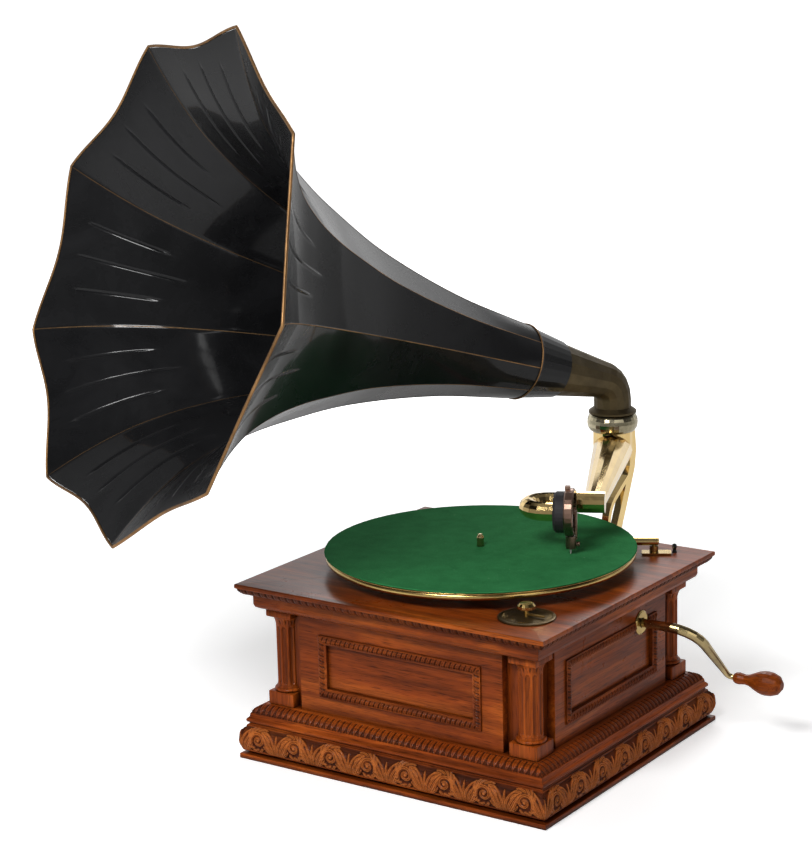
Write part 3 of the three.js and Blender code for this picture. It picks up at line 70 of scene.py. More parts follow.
# Materials
class Shader:
    """A node material with one Principled shader."""

    def __init__(self, name):
        self.material = bpy.data.materials.new(name)
        self.material.use_nodes = True
        self.tree = self.material.node_tree
        self.tree.nodes.clear()
        self.out = self.add("ShaderNodeOutputMaterial")
        self.bsdf = self.add("ShaderNodeBsdfPrincipled")
        self.link(self.bsdf.outputs[0], self.out.inputs[0])
        self.place = self.add("ShaderNodeTexCoord").outputs["Object"]

    def add(self, kind, settings=None, **inputs):
        node = self.tree.nodes.new(kind)
        for key, value in (settings or {}).items():
            setattr(node, key, value)
        for key, value in inputs.items():
            self.feed(node.inputs[key.replace("_", " ")], value)
        return node

    def feed(self, socket, value):
        if isinstance(value, bpy.types.NodeSocket):
            self.link(value, socket)
        else:
            socket.default_value = value

    def link(self, a, b):
        self.tree.links.new(a, b)

    def set(self, **inputs):
        for key, value in inputs.items():
            self.feed(self.bsdf.inputs[key.replace("_", " ")], value)
        return self

    def scaled(self, scale):
        node = self.add("ShaderNodeMapping", {"vector_type": "POINT"})
        node.inputs["Scale"].default_value = scale
        self.link(self.place, node.inputs["Vector"])
        return node.outputs[0]

    def noise(self, scale, stretch=(1, 1, 1), detail=4.0, rough=0.55, distortion=0.0):
        node = self.add("ShaderNodeTexNoise", Scale=scale, Detail=detail, Roughness=rough,
                        Distortion=distortion)
        self.link(self.scaled(stretch), node.inputs["Vector"])
        return node.outputs[0]

    def ramp(self, value, *stops):
        node = self.add("ShaderNodeValToRGB")
        node.color_ramp.elements.remove(node.color_ramp.elements[0])
        for i, (place, colour) in enumerate(stops):
            spot = node.color_ramp.elements[0] if i == 0 else node.color_ramp.elements.new(place)
            spot.position = place
            spot.color = (*colour, 1) if isinstance(colour, tuple) else (colour, colour, colour, 1)
        self.link(value, node.inputs[0])
        return node.outputs[0]

    def mix(self, share, a, b, blend="MIX"):
        node = self.add("ShaderNodeMix", {"data_type": "RGBA", "blend_type": blend})
        for socket, value in ((node.inputs[0], share), (node.inputs[6], a), (node.inputs[7], b)):
            if isinstance(value, tuple):
                value = (*value, 1)
            self.feed(socket, value)
        return node.outputs[2]

    def maths(self, operation, a, b=0.5):
        node = self.add("ShaderNodeMath", {"operation": operation})
        self.feed(node.inputs[0], a)
        self.feed(node.inputs[1], b)
        return node.outputs[0]

    def bump(self, height, strength, distance):
        node = self.add("ShaderNodeBump", Strength=strength, Distance=distance, Height=height)
        self.link(node.outputs[0], self.bsdf.inputs["Normal"])

    # Painted shade: an ambient occlusion factor that darkens colour in corners and crevices
    def painted_occlusion_shade(self, distance):
        return self.add("ShaderNodeAmbientOcclusion", {"samples": 6}, Distance=distance).outputs["AO"]


DARK_WOOD, RED_WOOD, LIGHT_WOOD = (0.092, 0.0155, 0.0020), (0.222, 0.040, 0.0045), (0.400, 0.089, 0.0105)
# Colour of wear and painted highlight on raised carving
WORN_AND_LIT_WOOD = (0.56, 0.172, 0.036)


def wood(name, along, light=1.0, gloss=0.24):
    """Reddish-brown polished hardwood with grain along an axis, painted shade in its carving, corners and
    crevices, and wear and a painted highlight on raised carving.
    """
    s = Shader(name)
    own = s.add("ShaderNodeObjectInfo").outputs["Random"]
    shift = s.add("ShaderNodeVectorMath", {"operation": "SCALE"})
    shift.inputs[0].default_value = (0.9, 0.7, 0.8)
    s.link(own, shift.inputs["Scale"])
    moved = s.add("ShaderNodeVectorMath", {"operation": "ADD"})
    s.link(s.place, moved.inputs[0])
    s.link(shift.outputs[0], moved.inputs[1])
    s.place = moved.outputs[0]

    def stretch(with_grain, across):
        return tuple(with_grain if axis == along else across for axis in "xyz")

    figure = s.noise(1.0, stretch(3.5, 26), 5, 0.6, 1.1)
    streak = s.noise(1.0, stretch(7, 210), 4, 0.62, 0.3)
    pores = s.noise(1.0, stretch(55, 1500), 2, 0.5)
    def lit(colour):
        return tuple(part * light for part in colour)

    base = s.ramp(figure, (0.28, lit(DARK_WOOD)), (0.50, lit(RED_WOOD)), (0.72, lit(LIGHT_WOOD)))
    base = s.mix(0.75, base, s.ramp(streak, (0.34, 0.38), (0.58, 1.0), (0.75, 1.3)), "MULTIPLY")
    base = s.mix(0.85, base, s.ramp(pores, (0.32, 0.25), (0.46, 1.0)), "MULTIPLY")
    # Painted shade: the deeper the carving at a point, the darker its colour
    carve = s.add("ShaderNodeAttribute", {"attribute_name": "carve"}).outputs["Fac"]
    painted_recess_shade = s.ramp(carve, (0.0, 1.1), (0.25, 0.85), (0.6, 0.46), (1.0, 0.32))
    base = s.mix(1.0, base, painted_recess_shade, "MULTIPLY")
    # Wear and a painted highlight: raised carving turns paler and more orange
    worn = s.add("ShaderNodeAttribute", {"attribute_name": "worn"}).outputs["Fac"]
    base = s.mix(s.ramp(worn, (0.45, 0.0), (1.0, 0.62)), base, lit(WORN_AND_LIT_WOOD))
    # Painted shade: darker in corners and crevices
    corners = s.ramp(s.painted_occlusion_shade(0.010), (0.35, 0.22), (0.85, 1.0))
    base = s.mix(1.0, base, corners, "MULTIPLY")
    wear = s.noise(9.0, detail=6, rough=0.7)
    polish = s.ramp(wear, (0.3, gloss), (0.7, gloss + 0.16))
    s.set(Base_Color=base, Roughness=s.mix(carve, polish, (0.62, 0.62, 0.62)))
    s.bsdf.inputs["Specular IOR Level"].default_value = 0.10
    s.bsdf.inputs["Coat Weight"].default_value = 0.04
    s.bsdf.inputs["Coat Roughness"].default_value = 0.12
    s.bump(s.mix(0.5, pores, streak), 0.22, 0.0004)
    return s.material


def metal(name, colour, dark, roughness, tarnish=0.5, grain=90.0):
    """Plain or polished metal with tarnish in patches, fine scratches and painted shade in its corners."""
    s = Shader(name)
    patches = s.noise(26.0, detail=7, rough=0.65)
    fine = s.noise(grain, detail=5, rough=0.7)
    spots = s.ramp(patches, (0.38, 0.0), (0.78, 1.0))
    base = s.mix(s.maths("MULTIPLY", spots, tarnish), colour, dark)
    # Painted shade: darker in corners and crevices
    corners = s.ramp(s.painted_occlusion_shade(0.004), (0.25, 0.30), (0.80, 1.0))
    base = s.mix(1.0, base, corners, "MULTIPLY")
    rough = s.ramp(fine, (0.25, roughness), (0.75, min(roughness * 1.9 + 0.03, 1.0)))
    s.set(Base_Color=base, Metallic=1.0, Roughness=rough)
    s.bump(fine, 0.05, 0.0003)
    return s.material


def enamel(name):
    """Black stoved enamel, glossy, with faint cloudy wear."""
    s = Shader(name)
    cloud = s.noise(11.0, detail=6, rough=0.62, distortion=0.5)
    fine = s.noise(160.0, detail=4)
    base = s.ramp(cloud, (0.35, (0.0050, 0.0051, 0.0056)), (0.75, (0.0115, 0.0115, 0.0125)))
    s.set(Base_Color=base, Roughness=s.ramp(cloud, (0.3, 0.19), (0.72, 0.36)))
    s.bsdf.inputs["Specular IOR Level"].default_value = 0.06
    s.bsdf.inputs["Coat Weight"].default_value = 0.34
    s.bsdf.inputs["Coat Roughness"].default_value = 0.07
    s.bump(s.mix(0.12, s.noise(18.0, detail=2), fine), 0.06, 0.0006)
    return s.material


def felt():
    """Green wool felt with clumps, fibres and specks of dust."""
    s = Shader("felt")
    fibres = s.noise(900.0, detail=5, rough=0.7)
    clumps = s.noise(45.0, detail=6, rough=0.7)
    dust = s.noise(420.0, detail=1)
    base = s.ramp(clumps, (0.3, (0.021, 0.140, 0.044)), (0.7, (0.031, 0.191, 0.062)))
    base = s.mix(0.6, base, s.ramp(fibres, (0.3, 0.6), (0.7, 1.35)), "MULTIPLY")
    base = s.mix(s.ramp(dust, (0.765, 0.0), (0.80, 0.5)), base, (0.34, 0.42, 0.32))
    s.set(Base_Color=base, Roughness=0.95)
    s.bsdf.inputs["Specular IOR Level"].default_value = 0.03
    s.bump(s.mix(0.4, fibres, clumps), 0.5, 0.0006)
    return s.material


def dull(name, light, dark, roughness, scale=60.0):
    """Matt painted, cast or rubber surface."""
    s = Shader(name)
    patches = s.noise(scale, detail=6, rough=0.65)
    base = s.ramp(patches, (0.3, dark), (0.7, light))
    s.set(Base_Color=base, Roughness=s.ramp(patches, (0.3, roughness), (0.7, min(roughness + 0.15, 1.0))))
    s.bump(s.noise(scale * 9, detail=3), 0.12, 0.0004)
    return s.material


OAK = {axis: wood(f"polished_oak_{axis}", axis) for axis in "xyz"}
CARVED = {axis: wood(f"carved_oak_{axis}", axis, 1.12, 0.28) for axis in "xyz"}
HANDLE_WOOD = wood("turned_handle_wood", "x", 0.8, 0.3)
BRASS = metal("polished_brass", (0.90, 0.66, 0.29), (0.52, 0.31, 0.10), 0.07, 0.35)
OLD_BRASS = metal("worn_brass", (0.56, 0.39, 0.14), (0.13, 0.085, 0.032), 0.13, 0.9)
NICKEL = metal("worn_nickel", (0.66, 0.62, 0.50), (0.42, 0.34, 0.20), 0.10, 0.7)
STEEL = metal("steel", (0.50, 0.49, 0.47), (0.24, 0.22, 0.20), 0.22, 0.5)
BRONZE = metal("dark_bronze", (0.24, 0.15, 0.11), (0.09, 0.055, 0.045), 0.20, 0.7)
CRANK_METAL = metal("worn_crank_metal", (0.52, 0.40, 0.19), (0.12, 0.09, 0.05), 0.15, 0.75)
COLLAR = metal("worn_collar_brass", (0.62, 0.55, 0.38), (0.14, 0.12, 0.07), 0.12, 0.95)
OLIVE = metal("olive_bronze", (0.115, 0.086, 0.045), (0.060, 0.046, 0.026), 0.36, 0.8)
RIM_BRASS = metal("rim_brass", (0.60, 0.42, 0.15), (0.16, 0.105, 0.04), 0.13, 0.75)
SEAM_GILT = metal("dark_gilt", (0.13, 0.078, 0.036), (0.035, 0.022, 0.014), 0.42, 0.95, 240.0)
DIAL_BRASS = metal("dial_brass", (0.20, 0.14, 0.062), (0.070, 0.046, 0.022), 0.30, 0.9)
GILT = metal("worn_gilt", (0.36, 0.20, 0.085), (0.075, 0.040, 0.022), 0.34, 0.95, 240.0)
ENAMEL = enamel("black_enamel")
IRON = dull("cast_iron", (0.035, 0.036, 0.038), (0.018, 0.018, 0.019), 0.55)
RUBBER = dull("rubber", (0.012, 0.009, 0.012), (0.006, 0.005, 0.006), 0.6)
FELT = felt()


# Meshes
def grid_faces(rows, columns, close_rows=False, close_columns=False, start=0):
    """Quads of a grid of points, counted row by row from start."""
    r = np.arange(rows if close_rows else rows - 1)[:, None]
    c = np.arange(columns if close_columns else columns - 1)
    near, far = start + r * columns, start + ((r + 1) % rows) * columns
    return np.stack([near + c, near + (c + 1) % columns, far + (c + 1) % columns, far + c], -1).reshape(-1, 4)


def capped_faces(rows, columns):
    """Faces of a closed tube of rows of points, with one face at each end."""
    faces = [tuple(face) for face in grid_faces(rows, columns, close_columns=True)]
    return faces + [tuple(range(columns)), tuple(range((rows - 1) * columns, rows * columns))]


def full_turn(count):
    return np.linspace(0, 2 * np.pi, count, endpoint=False)


def mesh_piece(name, body, materials, points, faces, stands_for=(), carve=None, worn=None, index=None,
               sharp=35):
    """A new piece from points in mm. carve is the share of painted shade at each point; the next argument is
    the share of wear and painted highlight.
    """
    mesh = bpy.data.meshes.new(name)
    mesh.from_pydata((np.asarray(points) * METRES).tolist(), [], [list(face) for face in faces])
    for title, values in (("carve", carve), ("worn", worn)):
        if values is not None:
            attribute = mesh.attributes.new(title, "FLOAT", "POINT")
            attribute.data.foreach_set("value", np.asarray(values, np.float32))
    for material in materials:
        mesh.materials.append(material)
    if index is not None:
        mesh.polygons.foreach_set("material_index", np.asarray(index, np.int32))
    work = bmesh.new()
    work.from_mesh(mesh)
    bmesh.ops.remove_doubles(work, verts=work.verts, dist=2e-6)
    bmesh.ops.recalc_face_normals(work, faces=work.faces)
    work.to_mesh(mesh)
    work.free()
    mesh.shade_smooth()
    mesh.set_sharp_from_angle(angle=math.radians(sharp))
    obj = bpy.data.objects.new(name, mesh)
    scene.collection.objects.link(obj)
    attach(obj, body)
    if stands_for:
        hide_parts(*stands_for)
    return obj


def arc(x, z, rx, rz, start, end, steps):
    """Points of an ellipse's arc about (x, z), between two angles in degrees."""
    a = np.radians(np.linspace(start, end, steps + 1))
    return np.stack([x + rx * np.cos(a), z + rz * np.sin(a)], 1)


def outline(*runs):
    """Joins runs of (points, zone). Gives points, normals, zones, and share and length along each zone."""
    points = np.concatenate([np.atleast_2d(run) for run, _ in runs])
    zones = np.concatenate([[zone] * len(np.atleast_2d(run)) for run, zone in runs])
    normals = np.zeros_like(points)
    share = np.zeros(len(points))
    length = np.zeros(len(points))
    for zone in set(zones) - {0}:
        held = np.flatnonzero(zones == zone)
        run = points[held]
        tangent = np.gradient(run, axis=0)
        tangent /= np.linalg.norm(tangent, axis=1)[:, None]
        normals[held] = np.stack([tangent[:, 1], -tangent[:, 0]], 1)
        steps = np.concatenate([[0], np.cumsum(np.linalg.norm(np.diff(run, axis=0), axis=1))])
        share[held], length[held] = steps / steps[-1], steps
    return points, normals, zones, share, length


def smooth(value, low, high):
    """Rises from 0 at low to 1 at high without a corner."""
    t = np.clip((value - low) / (high - low), 0, 1)
    return t * t * (3 - 2 * t)


def stroke(u, v, points, widths, vein=0.0):
    """Height of one carved stroke: a rounded ridge along points, with a vein cut down its middle."""
    away = np.min(np.hypot(u[..., None] - points[:, 0], v[..., None] - points[:, 1]) / widths, -1)
    cuts = np.exp(-((away / 0.20) ** 2)) + 0.8 * np.exp(-(((away - 0.60) / 0.13) ** 2))
    return np.sqrt(np.clip(1 - away ** 2, 0, 1)) - vein * cuts * (away < 1)


def away_from_ends(share, low, high):
    """1 inside a carved band, falling to 0 at both of its edges."""
    return smooth(np.minimum(share, 1 - share), low, high)


def even_pitch(run, pitch):
    """The pitch nearest the one asked for that divides a run evenly."""
    return run / round(run / pitch)


def spiral(u, v, start_radius, end_radius, start_angle, turns, count=150):
    """Points of a spiral about (u, v) whose radius shrinks by a constant ratio."""
    t = np.linspace(0, 1, count)
    a = math.radians(start_angle) + turns * 2 * math.pi * t
    r = start_radius * (end_radius / start_radius) ** t
    return np.stack([u + r * np.cos(a), v + r * np.sin(a)], 1)


def leaf(u, v, angle, length, curl, width, count=34):
    """Points and widths of a carved leaf that starts at (u, v) and bends by curl degrees."""
    t = np.linspace(0, 1, count)
    a = np.radians(angle) + np.radians(curl) * t
    points = np.stack([u + length * t * np.cos(a), v + length * t * np.sin(a)], 1)
    swell = np.sqrt(np.clip(np.sin(np.pi * t ** 0.7), 0, 1))
    return points, width * (0.2 + 0.8 * swell) * (1 - 0.3 * t) + 0.1


SCROLL_RUN, SCROLL_HALF, SCROLL_STEP = 86.75, 15.5, 0.36
# Angle and length of each lobe over a spiral
LOBES = ((165, 9), (140, 10), (115, 11), (90, 11), (65, 10), (40, 9), (-60, 7), (-90, 7), (-120, 7))
# Offset, angle, length and curl of each leaf of a fountain
FOUNTAIN = ((0, 90, 22, 0), (1.5, 97, 28, -34), (3.3, 81, 27.5, -24), (5.0, 65, 25, -6), (6.2, 48, 20, 18),
            (5.0, 14, 13, 26))


def scroll_cell():
    """One repeat of the scroll: two opposed spirals with lobes over them and fountains of leaves between."""
    u, v = np.meshgrid(np.arange(0, SCROLL_RUN, SCROLL_STEP),
                       np.arange(-SCROLL_HALF, SCROLL_HALF, SCROLL_STEP), indexing="ij")
    strokes = []
    for place, way in ((0.25, 1), (0.75, -1)):
        middle_u, middle_v = SCROLL_RUN * place, -0.5
        coil = spiral(middle_u, middle_v, 9.6, 2.4, 200 if way > 0 else -20, -1.45 * way)
        strokes.append((coil, np.linspace(3.2, 1.5, len(coil)), 0.5))
        strokes.append((np.array([[middle_u, middle_v]]), np.array([2.3]), 0.2))
        for turn, length in LOBES:
            a = math.radians(turn if way > 0 else 180 - turn)
            foot = middle_u + 10 * math.cos(a), middle_v + 10 * math.sin(a)
            strokes.append((*leaf(*foot, math.degrees(a) - 52 * way, length, -26 * way, 2.5), 0.4))
    for place in (0.5, 1.0):
        for offset, angle, length, curl in FOUNTAIN:
            for way in ((1, -1) if offset else (1,)):
                turn = angle if way > 0 else 180 - angle
                foot = SCROLL_RUN * place + offset * way, -13.5
                strokes.append((*leaf(*foot, turn, length, curl * way, 2.7), 0.5))
    punched = np.sin(u * 2 * np.pi / (SCROLL_RUN / 61)) * np.sin(v * 4.4)
    height = 0.12 + 0.10 * punched
    for points, widths, vein in strokes:
        for copy in (-SCROLL_RUN, 0, SCROLL_RUN):
            moved = points + (copy, 0)
            if moved[:, 0].max() > -4 and moved[:, 0].min() < SCROLL_RUN + 4:
                height = np.maximum(height, stroke(u, v, moved, widths, vein))
    return height


SCROLL = scroll_cell()


def scroll_height(x, half_run, v):
    """Height of the scroll carving at x along a rail, mirrored about its middle, and v across the band."""
    count = round(2 * half_run / SCROLL_RUN)
    u = (np.abs(x) / half_run * count / 2 * SCROLL_RUN) % SCROLL_RUN
    i = u / SCROLL_STEP
    j = np.clip((v + SCROLL_HALF) / SCROLL_STEP, 0, SCROLL.shape[1] - 2)
    i0, j0 = np.floor(i).astype(int) % SCROLL.shape[0], np.floor(j).astype(int)
    i1, fi, fj = (i0 + 1) % SCROLL.shape[0], i - np.floor(i), j - j0
    return ((1 - fi) * (1 - fj) * SCROLL[i0, j0] + fi * (1 - fj) * SCROLL[i1, j0]
            + (1 - fi) * fj * SCROLL[i0, j0 + 1] + fi * fj * SCROLL[i1, j0 + 1])


def tongue_height(x, pitch, share):
    """Row of rounded leaves with a middle vein, hanging from share 1 towards 0, with darts between them."""
    a = np.abs((x / pitch) % 1.0 - 0.5) * 2
    half = 0.80 * np.sqrt(np.clip((share - 0.04) / 0.42, 0.0004, 1))
    inside = a < half
    body = np.where(inside, 1 - 0.45 * (a / half) ** 2 - 0.5 * np.exp(-((a / 0.10) ** 2)), 0)
    dart = 0.75 * np.exp(-(((1 - a) / 0.085) ** 2)) * (share < 0.62)
    return np.maximum(np.clip(body, 0, 1), dart)


SIDES = {"front": (0, HALF_DEPTH, HALF_WIDTH), "right": (90, HALF_WIDTH, HALF_DEPTH),
         "back": (180, HALF_DEPTH, HALF_WIDTH), "left": (270, HALF_WIDTH, HALF_DEPTH)}
GRAIN = {"front": "x", "back": "x", "left": "y", "right": "y"}


def on_side(points, side):
    """Turns points drawn for the front to a side of the case. Their y counts outwards as negative."""
    turn, distance, _ = SIDES[side]
    c, s = math.cos(math.radians(turn)), math.sin(math.radians(turn))
    x, y = points[..., 0], points[..., 1] - distance
    return np.stack([c * x - s * y, s * x + c * y, points[..., 2]], -1)


def plinth_rail(side):
    """Mitred rail of the plinth: fillet, carved torus, cove and a quarter-round carved with leaves."""
    half_run = SIDES[side][2]
    torus = arc(-6, 20, 7.5, 14, -60, 90, 74)
    points, normals, zones, share, length = outline(
        ([(0.4, 0), (1.0, 0.6), (1.0, 4.3), (0.6, 5.0)], 0), ([(-6, 6)], 0), (torus, 1), ([(-7, 35.9)], 0),
        (arc(-7, 38.5, 2.6, 2.6, -45, 60, 10), 0), ([(-7, 42)], 0), (arc(-20, 42, 13, 11.5, 15, 90, 44), 2),
        ([(-52, PLINTH_TOP), (-52, 43.5), (-24, 43.5), (-24, 0)], 0))
    rows = int(2 * half_run / (0.42 if side in ("front", "right") else 0.7))
    t = np.linspace(-1, 1, rows)[:, None]
    x = t * (half_run + points[:, 0] - MITRE_GAP)
    middle = length[zones == 1].max() / 2
    scroll = scroll_height(x, half_run, length - middle)
    band = away_from_ends(share, 0.03, 0.085)
    scroll = 1 - band * (1 - np.clip(scroll, 0, 1))
    leaves = tongue_height(x, even_pitch(2 * half_run, LEAF_PITCH), share)
    leaves = 1 - away_from_ends(share, 0.02, 0.08) * (1 - leaves)
    # The carve share sets each cut's depth and also the painted shade in its recesses; the raised carving of
    # the torus gets wear and a painted highlight
    carve = np.where(zones == 1, 1 - scroll, np.where(zones == 2, 1 - leaves, 0))
    worn = (zones == 1) * (1 - carve) * band
    depth = carve * np.where(zones == 1, TORUS_CUT, LEAF_CUT)
    out = points[:, 0] - normals[:, 0] * depth
    z = points[:, 1] - normals[:, 1] * depth
    place = on_side(np.stack([x, -out, z], -1), side)
    mesh_piece(f"carved_plinth_{side}", "case", [CARVED[GRAIN[side]]], place.reshape(-1, 3),
               capped_faces(rows, len(points)), (f"plinth_{side}",), carve.reshape(-1), worn.reshape(-1),
               sharp=50)


def framed_sweep(half_a, half_b, profile, step):
    """Carries a profile of insets round a rectangle.

    Gives for each of the four sides its count of rows, the places along and across it as grids, the cosine
    and sine of its turn, and half its length.
    """
    blocks = []
    for turn in range(4):
        half_run = half_a if turn % 2 == 0 else half_b
        rows = max(int(2 * half_run / step), 2)
        t = np.linspace(-1, 1, rows)[:, None]
        along = t * (half_run - profile)
        across = (half_b if turn % 2 == 0 else half_a) - profile + 0 * along
        c, s = round(math.cos(math.pi / 2 * turn)), round(math.sin(math.pi / 2 * turn))
        blocks.append((rows, along, across, c, s, half_run))
    return blocks


def top_board():
    """Board with a hollow edge carved with leaves under a thin rounded lip."""
    points, normals, zones, share, _ = outline(
        ([(BOARD_MARGIN, BOARD_LOW)], 0), ([(12.6, BOARD_LOW)], 0), (arc(12.6, 172.6, -11, 8, -75, 0, 34), 1),
        ([(1.6, 172.6), (0.5, 172.6)], 0), (arc(1.0, 173.6, -1.0, 1.0, -60, 0, 3), 0),
        (arc(1.1, 175.9, -1.1, 1.1, 0, 90, 6), 0), ([(BOARD_MARGIN, BOARD_TOP)], 0))
    all_points, all_carve, faces, start = [], [], [], 0
    for rows, along, across, c, s, half_run in framed_sweep(HALF_WIDTH, HALF_DEPTH, points[:, 0], 0.55):
        leaves = tongue_height(along, even_pitch(2 * half_run, EDGE_PITCH), share)
        leaves = 1 - away_from_ends(share, 0.02, 0.10) * (1 - leaves)
        carve = np.where(zones == 1, 1 - leaves, 0)
        y = -(across - np.abs(normals[:, 0]) * carve * EDGE_CUT)
        z = points[:, 1] + 0 * along + np.where(zones == 1, 0.35, 0) * carve
        all_points.append(np.stack([c * along - s * y, s * along + c * y, z], -1).reshape(-1, 3))
        # Painted shade over the carved hollow under the lip, deeper in its cuts
        all_carve.append(np.where(zones == 1, 0.42 + 0.58 * carve, 0).reshape(-1))
        faces += [tuple(f) for f in grid_faces(rows, len(points), start=start)]
        start += rows * len(points)
    inner_x, inner_y = HALF_WIDTH - BOARD_MARGIN, HALF_DEPTH - BOARD_MARGIN
    for z in (BOARD_LOW, BOARD_TOP):
        all_points.append(np.array([(-inner_x, -inner_y, z), (inner_x, -inner_y, z),
                                    (inner_x, inner_y, z), (-inner_x, inner_y, z)]))
        all_carve.append(np.zeros(4))
        faces.append(tuple(range(start, start + 4)))
        start += 4
    mesh_piece("moulded_top_board", "case", [OAK["x"]], np.concatenate(all_points), faces,
               ("top_board",), np.concatenate(all_carve), sharp=40)


# Section of the panel frame, as shares of its width and height
FRAME_SHARES = np.array([(0, 0), (0, 0.5), (0.12, 0.62), (0.3, 0.95), (0.55, 1), (0.8, 0.5), (1, 0.3),
                         (1, 0)])


def panel_moulding(side, width):
    """Applied frame round a wall's sunk field, with a row of small cut leaves along its round."""
    corners = len(FRAME_SHARES)
    spot = np.linspace(0, corners - 1, 6 * (corners - 1) + 1)
    inwards = np.interp(spot, range(corners), FRAME_SHARES[:, 0]) * FRAME_WIDTH
    proud = np.interp(spot, range(corners), FRAME_SHARES[:, 1]) * FRAME_HEIGHT
    band = smooth(inwards, 0.6, 1.8) * (1 - smooth(inwards, 6.2, 7.4)) * (spot > 1)
    all_points, all_carve, faces, start = [], [], [], 0
    for rows, along, across, c, s, half_run in framed_sweep(width / 2, PANEL_HALF_HEIGHT, inwards, 0.45):
        slanted = along - (inwards - FRAME_WIDTH / 2) * 0.35
        a = np.abs((slanted / even_pitch(2 * half_run, FRAME_PITCH)) % 1.0 - 0.5) * 2
        cut = np.clip(np.exp(-(((1 - a) / 0.30) ** 2)) + 0.45 * np.exp(-((a / 0.14) ** 2)), 0, 1)
        carve = cut * band * smooth(half_run - inwards - np.abs(along), 0.0, 1.5)
        height = proud - FRAME_CUT * carve
        x, z = c * along + s * across, s * along - c * across + PANEL_MIDDLE
        if side == "right":
            under_escutcheon = np.hypot(x - CRANK_PLACE[0], z - CRANK_PLACE[1]) < ESCUTCHEON_REACH
            height = np.where(under_escutcheon, 0.05, height)
        all_points.append(on_side(np.stack([x, PANEL_FACE - height, z], -1), side).reshape(-1, 3))
        all_carve.append(carve.reshape(-1))
        faces += [tuple(f) for f in grid_faces(rows, len(spot), close_columns=True, start=start)]
        start += rows * len(spot)
    # A darker tone over the whole frame, and painted shade in its cut leaves
    frame_tone_and_shade = 0.25 + 0.7 * np.concatenate(all_carve)
    mesh_piece(f"carved_moulding_{side}", "case", [CARVED[GRAIN[side]]],
               np.concatenate(all_points), faces, (f"{side}_moulding",), frame_tone_and_shade, sharp=50)


def column(name, sx, sy):
    """Fluted corner column with pedestal, base ring, leafed capital and abacus, cut flat against the post."""
    count = 240
    a = full_turn(count)
    square = 1 / (np.abs(np.cos(a)) ** 36 + np.abs(np.sin(a)) ** 36) ** (1 / 36)
    circle = np.ones(count)
    turn = (a / (2 * np.pi) * 10 + 0.5) % 1.0 - 0.5
    flute = np.sqrt(np.clip(1 - (turn / 0.36) ** 2, 0, 1))
    stations = []

    # carve is a station's share of painted shade: in the flutes and in the cuts between the capital's leaves
    def add(z, radius, carve=0.0):
        stations.append((np.full(count, z), radius + 0 * a, carve + 0 * a))

    for inset, z in ((0.7, PLINTH_TOP), (0.0, 54.2), (0.0, 66.2), (0.2, 66.8), (0.8, 67.0)):
        add(z, (PEDESTAL_HALF - inset) * square)
    for x, z in arc(12.6, 68.8, 1.8, 1.8, -90, 90, 10):
        add(z, x * circle)
    for x, z in ((12.3, 70.7), (12.3, 71.5), (11.9, 71.7), (11.9, 72.8), (SHAFT_RADIUS, 72.9)):
        add(z, x * circle)
    shaft = [np.linspace(73.4, 79.5, 12), np.linspace(81, 126.5, 10), np.linspace(128, 133.9, 12)]
    for z in np.concatenate(shaft):
        end = min(z - 74.2, 133.2 - z)
        round_end = np.clip(1 - (end - 3.2 * (1 - flute)) / 3.2, 0, 1)
        depth = flute * np.sqrt(np.clip(1 - round_end ** 2, 0, 1)) * FLUTE_CUT
        add(z, SHAFT_RADIUS - depth, depth / FLUTE_CUT * 0.35)
    lobes = np.abs((a / (2 * np.pi) * 12) % 1.0 - 0.5) * 2
    for t in np.linspace(0, 1, 18):
        spread = SHAFT_RADIUS + 3.0 * (0.35 * t + 0.65 * t ** 2.4)
        between = np.exp(-(((1 - lobes) / 0.22) ** 2)) * math.sin(math.pi * min(t * 1.15, 1))
        vein = np.exp(-((lobes / 0.1) ** 2)) * math.sin(math.pi * t)
        cut = between + 0.4 * vein
        add(134.4 + 8.0 * t, spread - 0.9 * cut, cut * 0.8)
    for inset, z in ((0.9, 142.4), (0.0, 143.1), (0.0, 149.4), (0.4, 150.0)):
        add(z, (PEDESTAL_HALF - inset) * square)
    z, radius, carve = (np.array(part) for part in zip(*stations))
    x, y = COLUMN_INSET + radius * np.cos(a), COLUMN_INSET + radius * np.sin(a)
    hidden = (x > POST_EDGE) & (y > POST_EDGE)
    nearer_x = hidden & (x <= y)
    x, y = np.where(nearer_x, POST_EDGE, x), np.where(hidden & ~nearer_x, POST_EDGE, y)
    place = np.stack([sx * (HALF_WIDTH - x), sy * (HALF_DEPTH - y), z], -1)
    mesh_piece(f"turned_{name}", "case", [CARVED["z"]], place.reshape(-1, 3),
               capped_faces(len(stations), count), (name,), carve.reshape(-1))


for side in SIDES:
    plinth_rail(side)
top_board()
for side, width in (("front", 184.0), ("right", 172.0), ("left", 172.0)):
    panel_moulding(side, width)
for name, sx, sy in (("front_right_column", 1, -1), ("back_right_column", 1, 1),
                     ("back_left_column", -1, 1), ("front_left_column", -1, -1)):
    column(name, sx, sy)


# Horn: its axis starts at the corner of the elbow
CORNER = np.array([0.0, 265.0, 311.9])
TURN, RISE = math.radians(-113.39), math.radians(17.35)
HEADING = np.array([math.cos(TURN) * math.cos(RISE), math.sin(TURN) * math.cos(RISE), math.sin(RISE)])
SIDEWAYS = np.cross([0, 0, 1], [math.cos(TURN), math.sin(TURN), 0])
UPWARDS = np.cross(HEADING, SIDEWAYS)
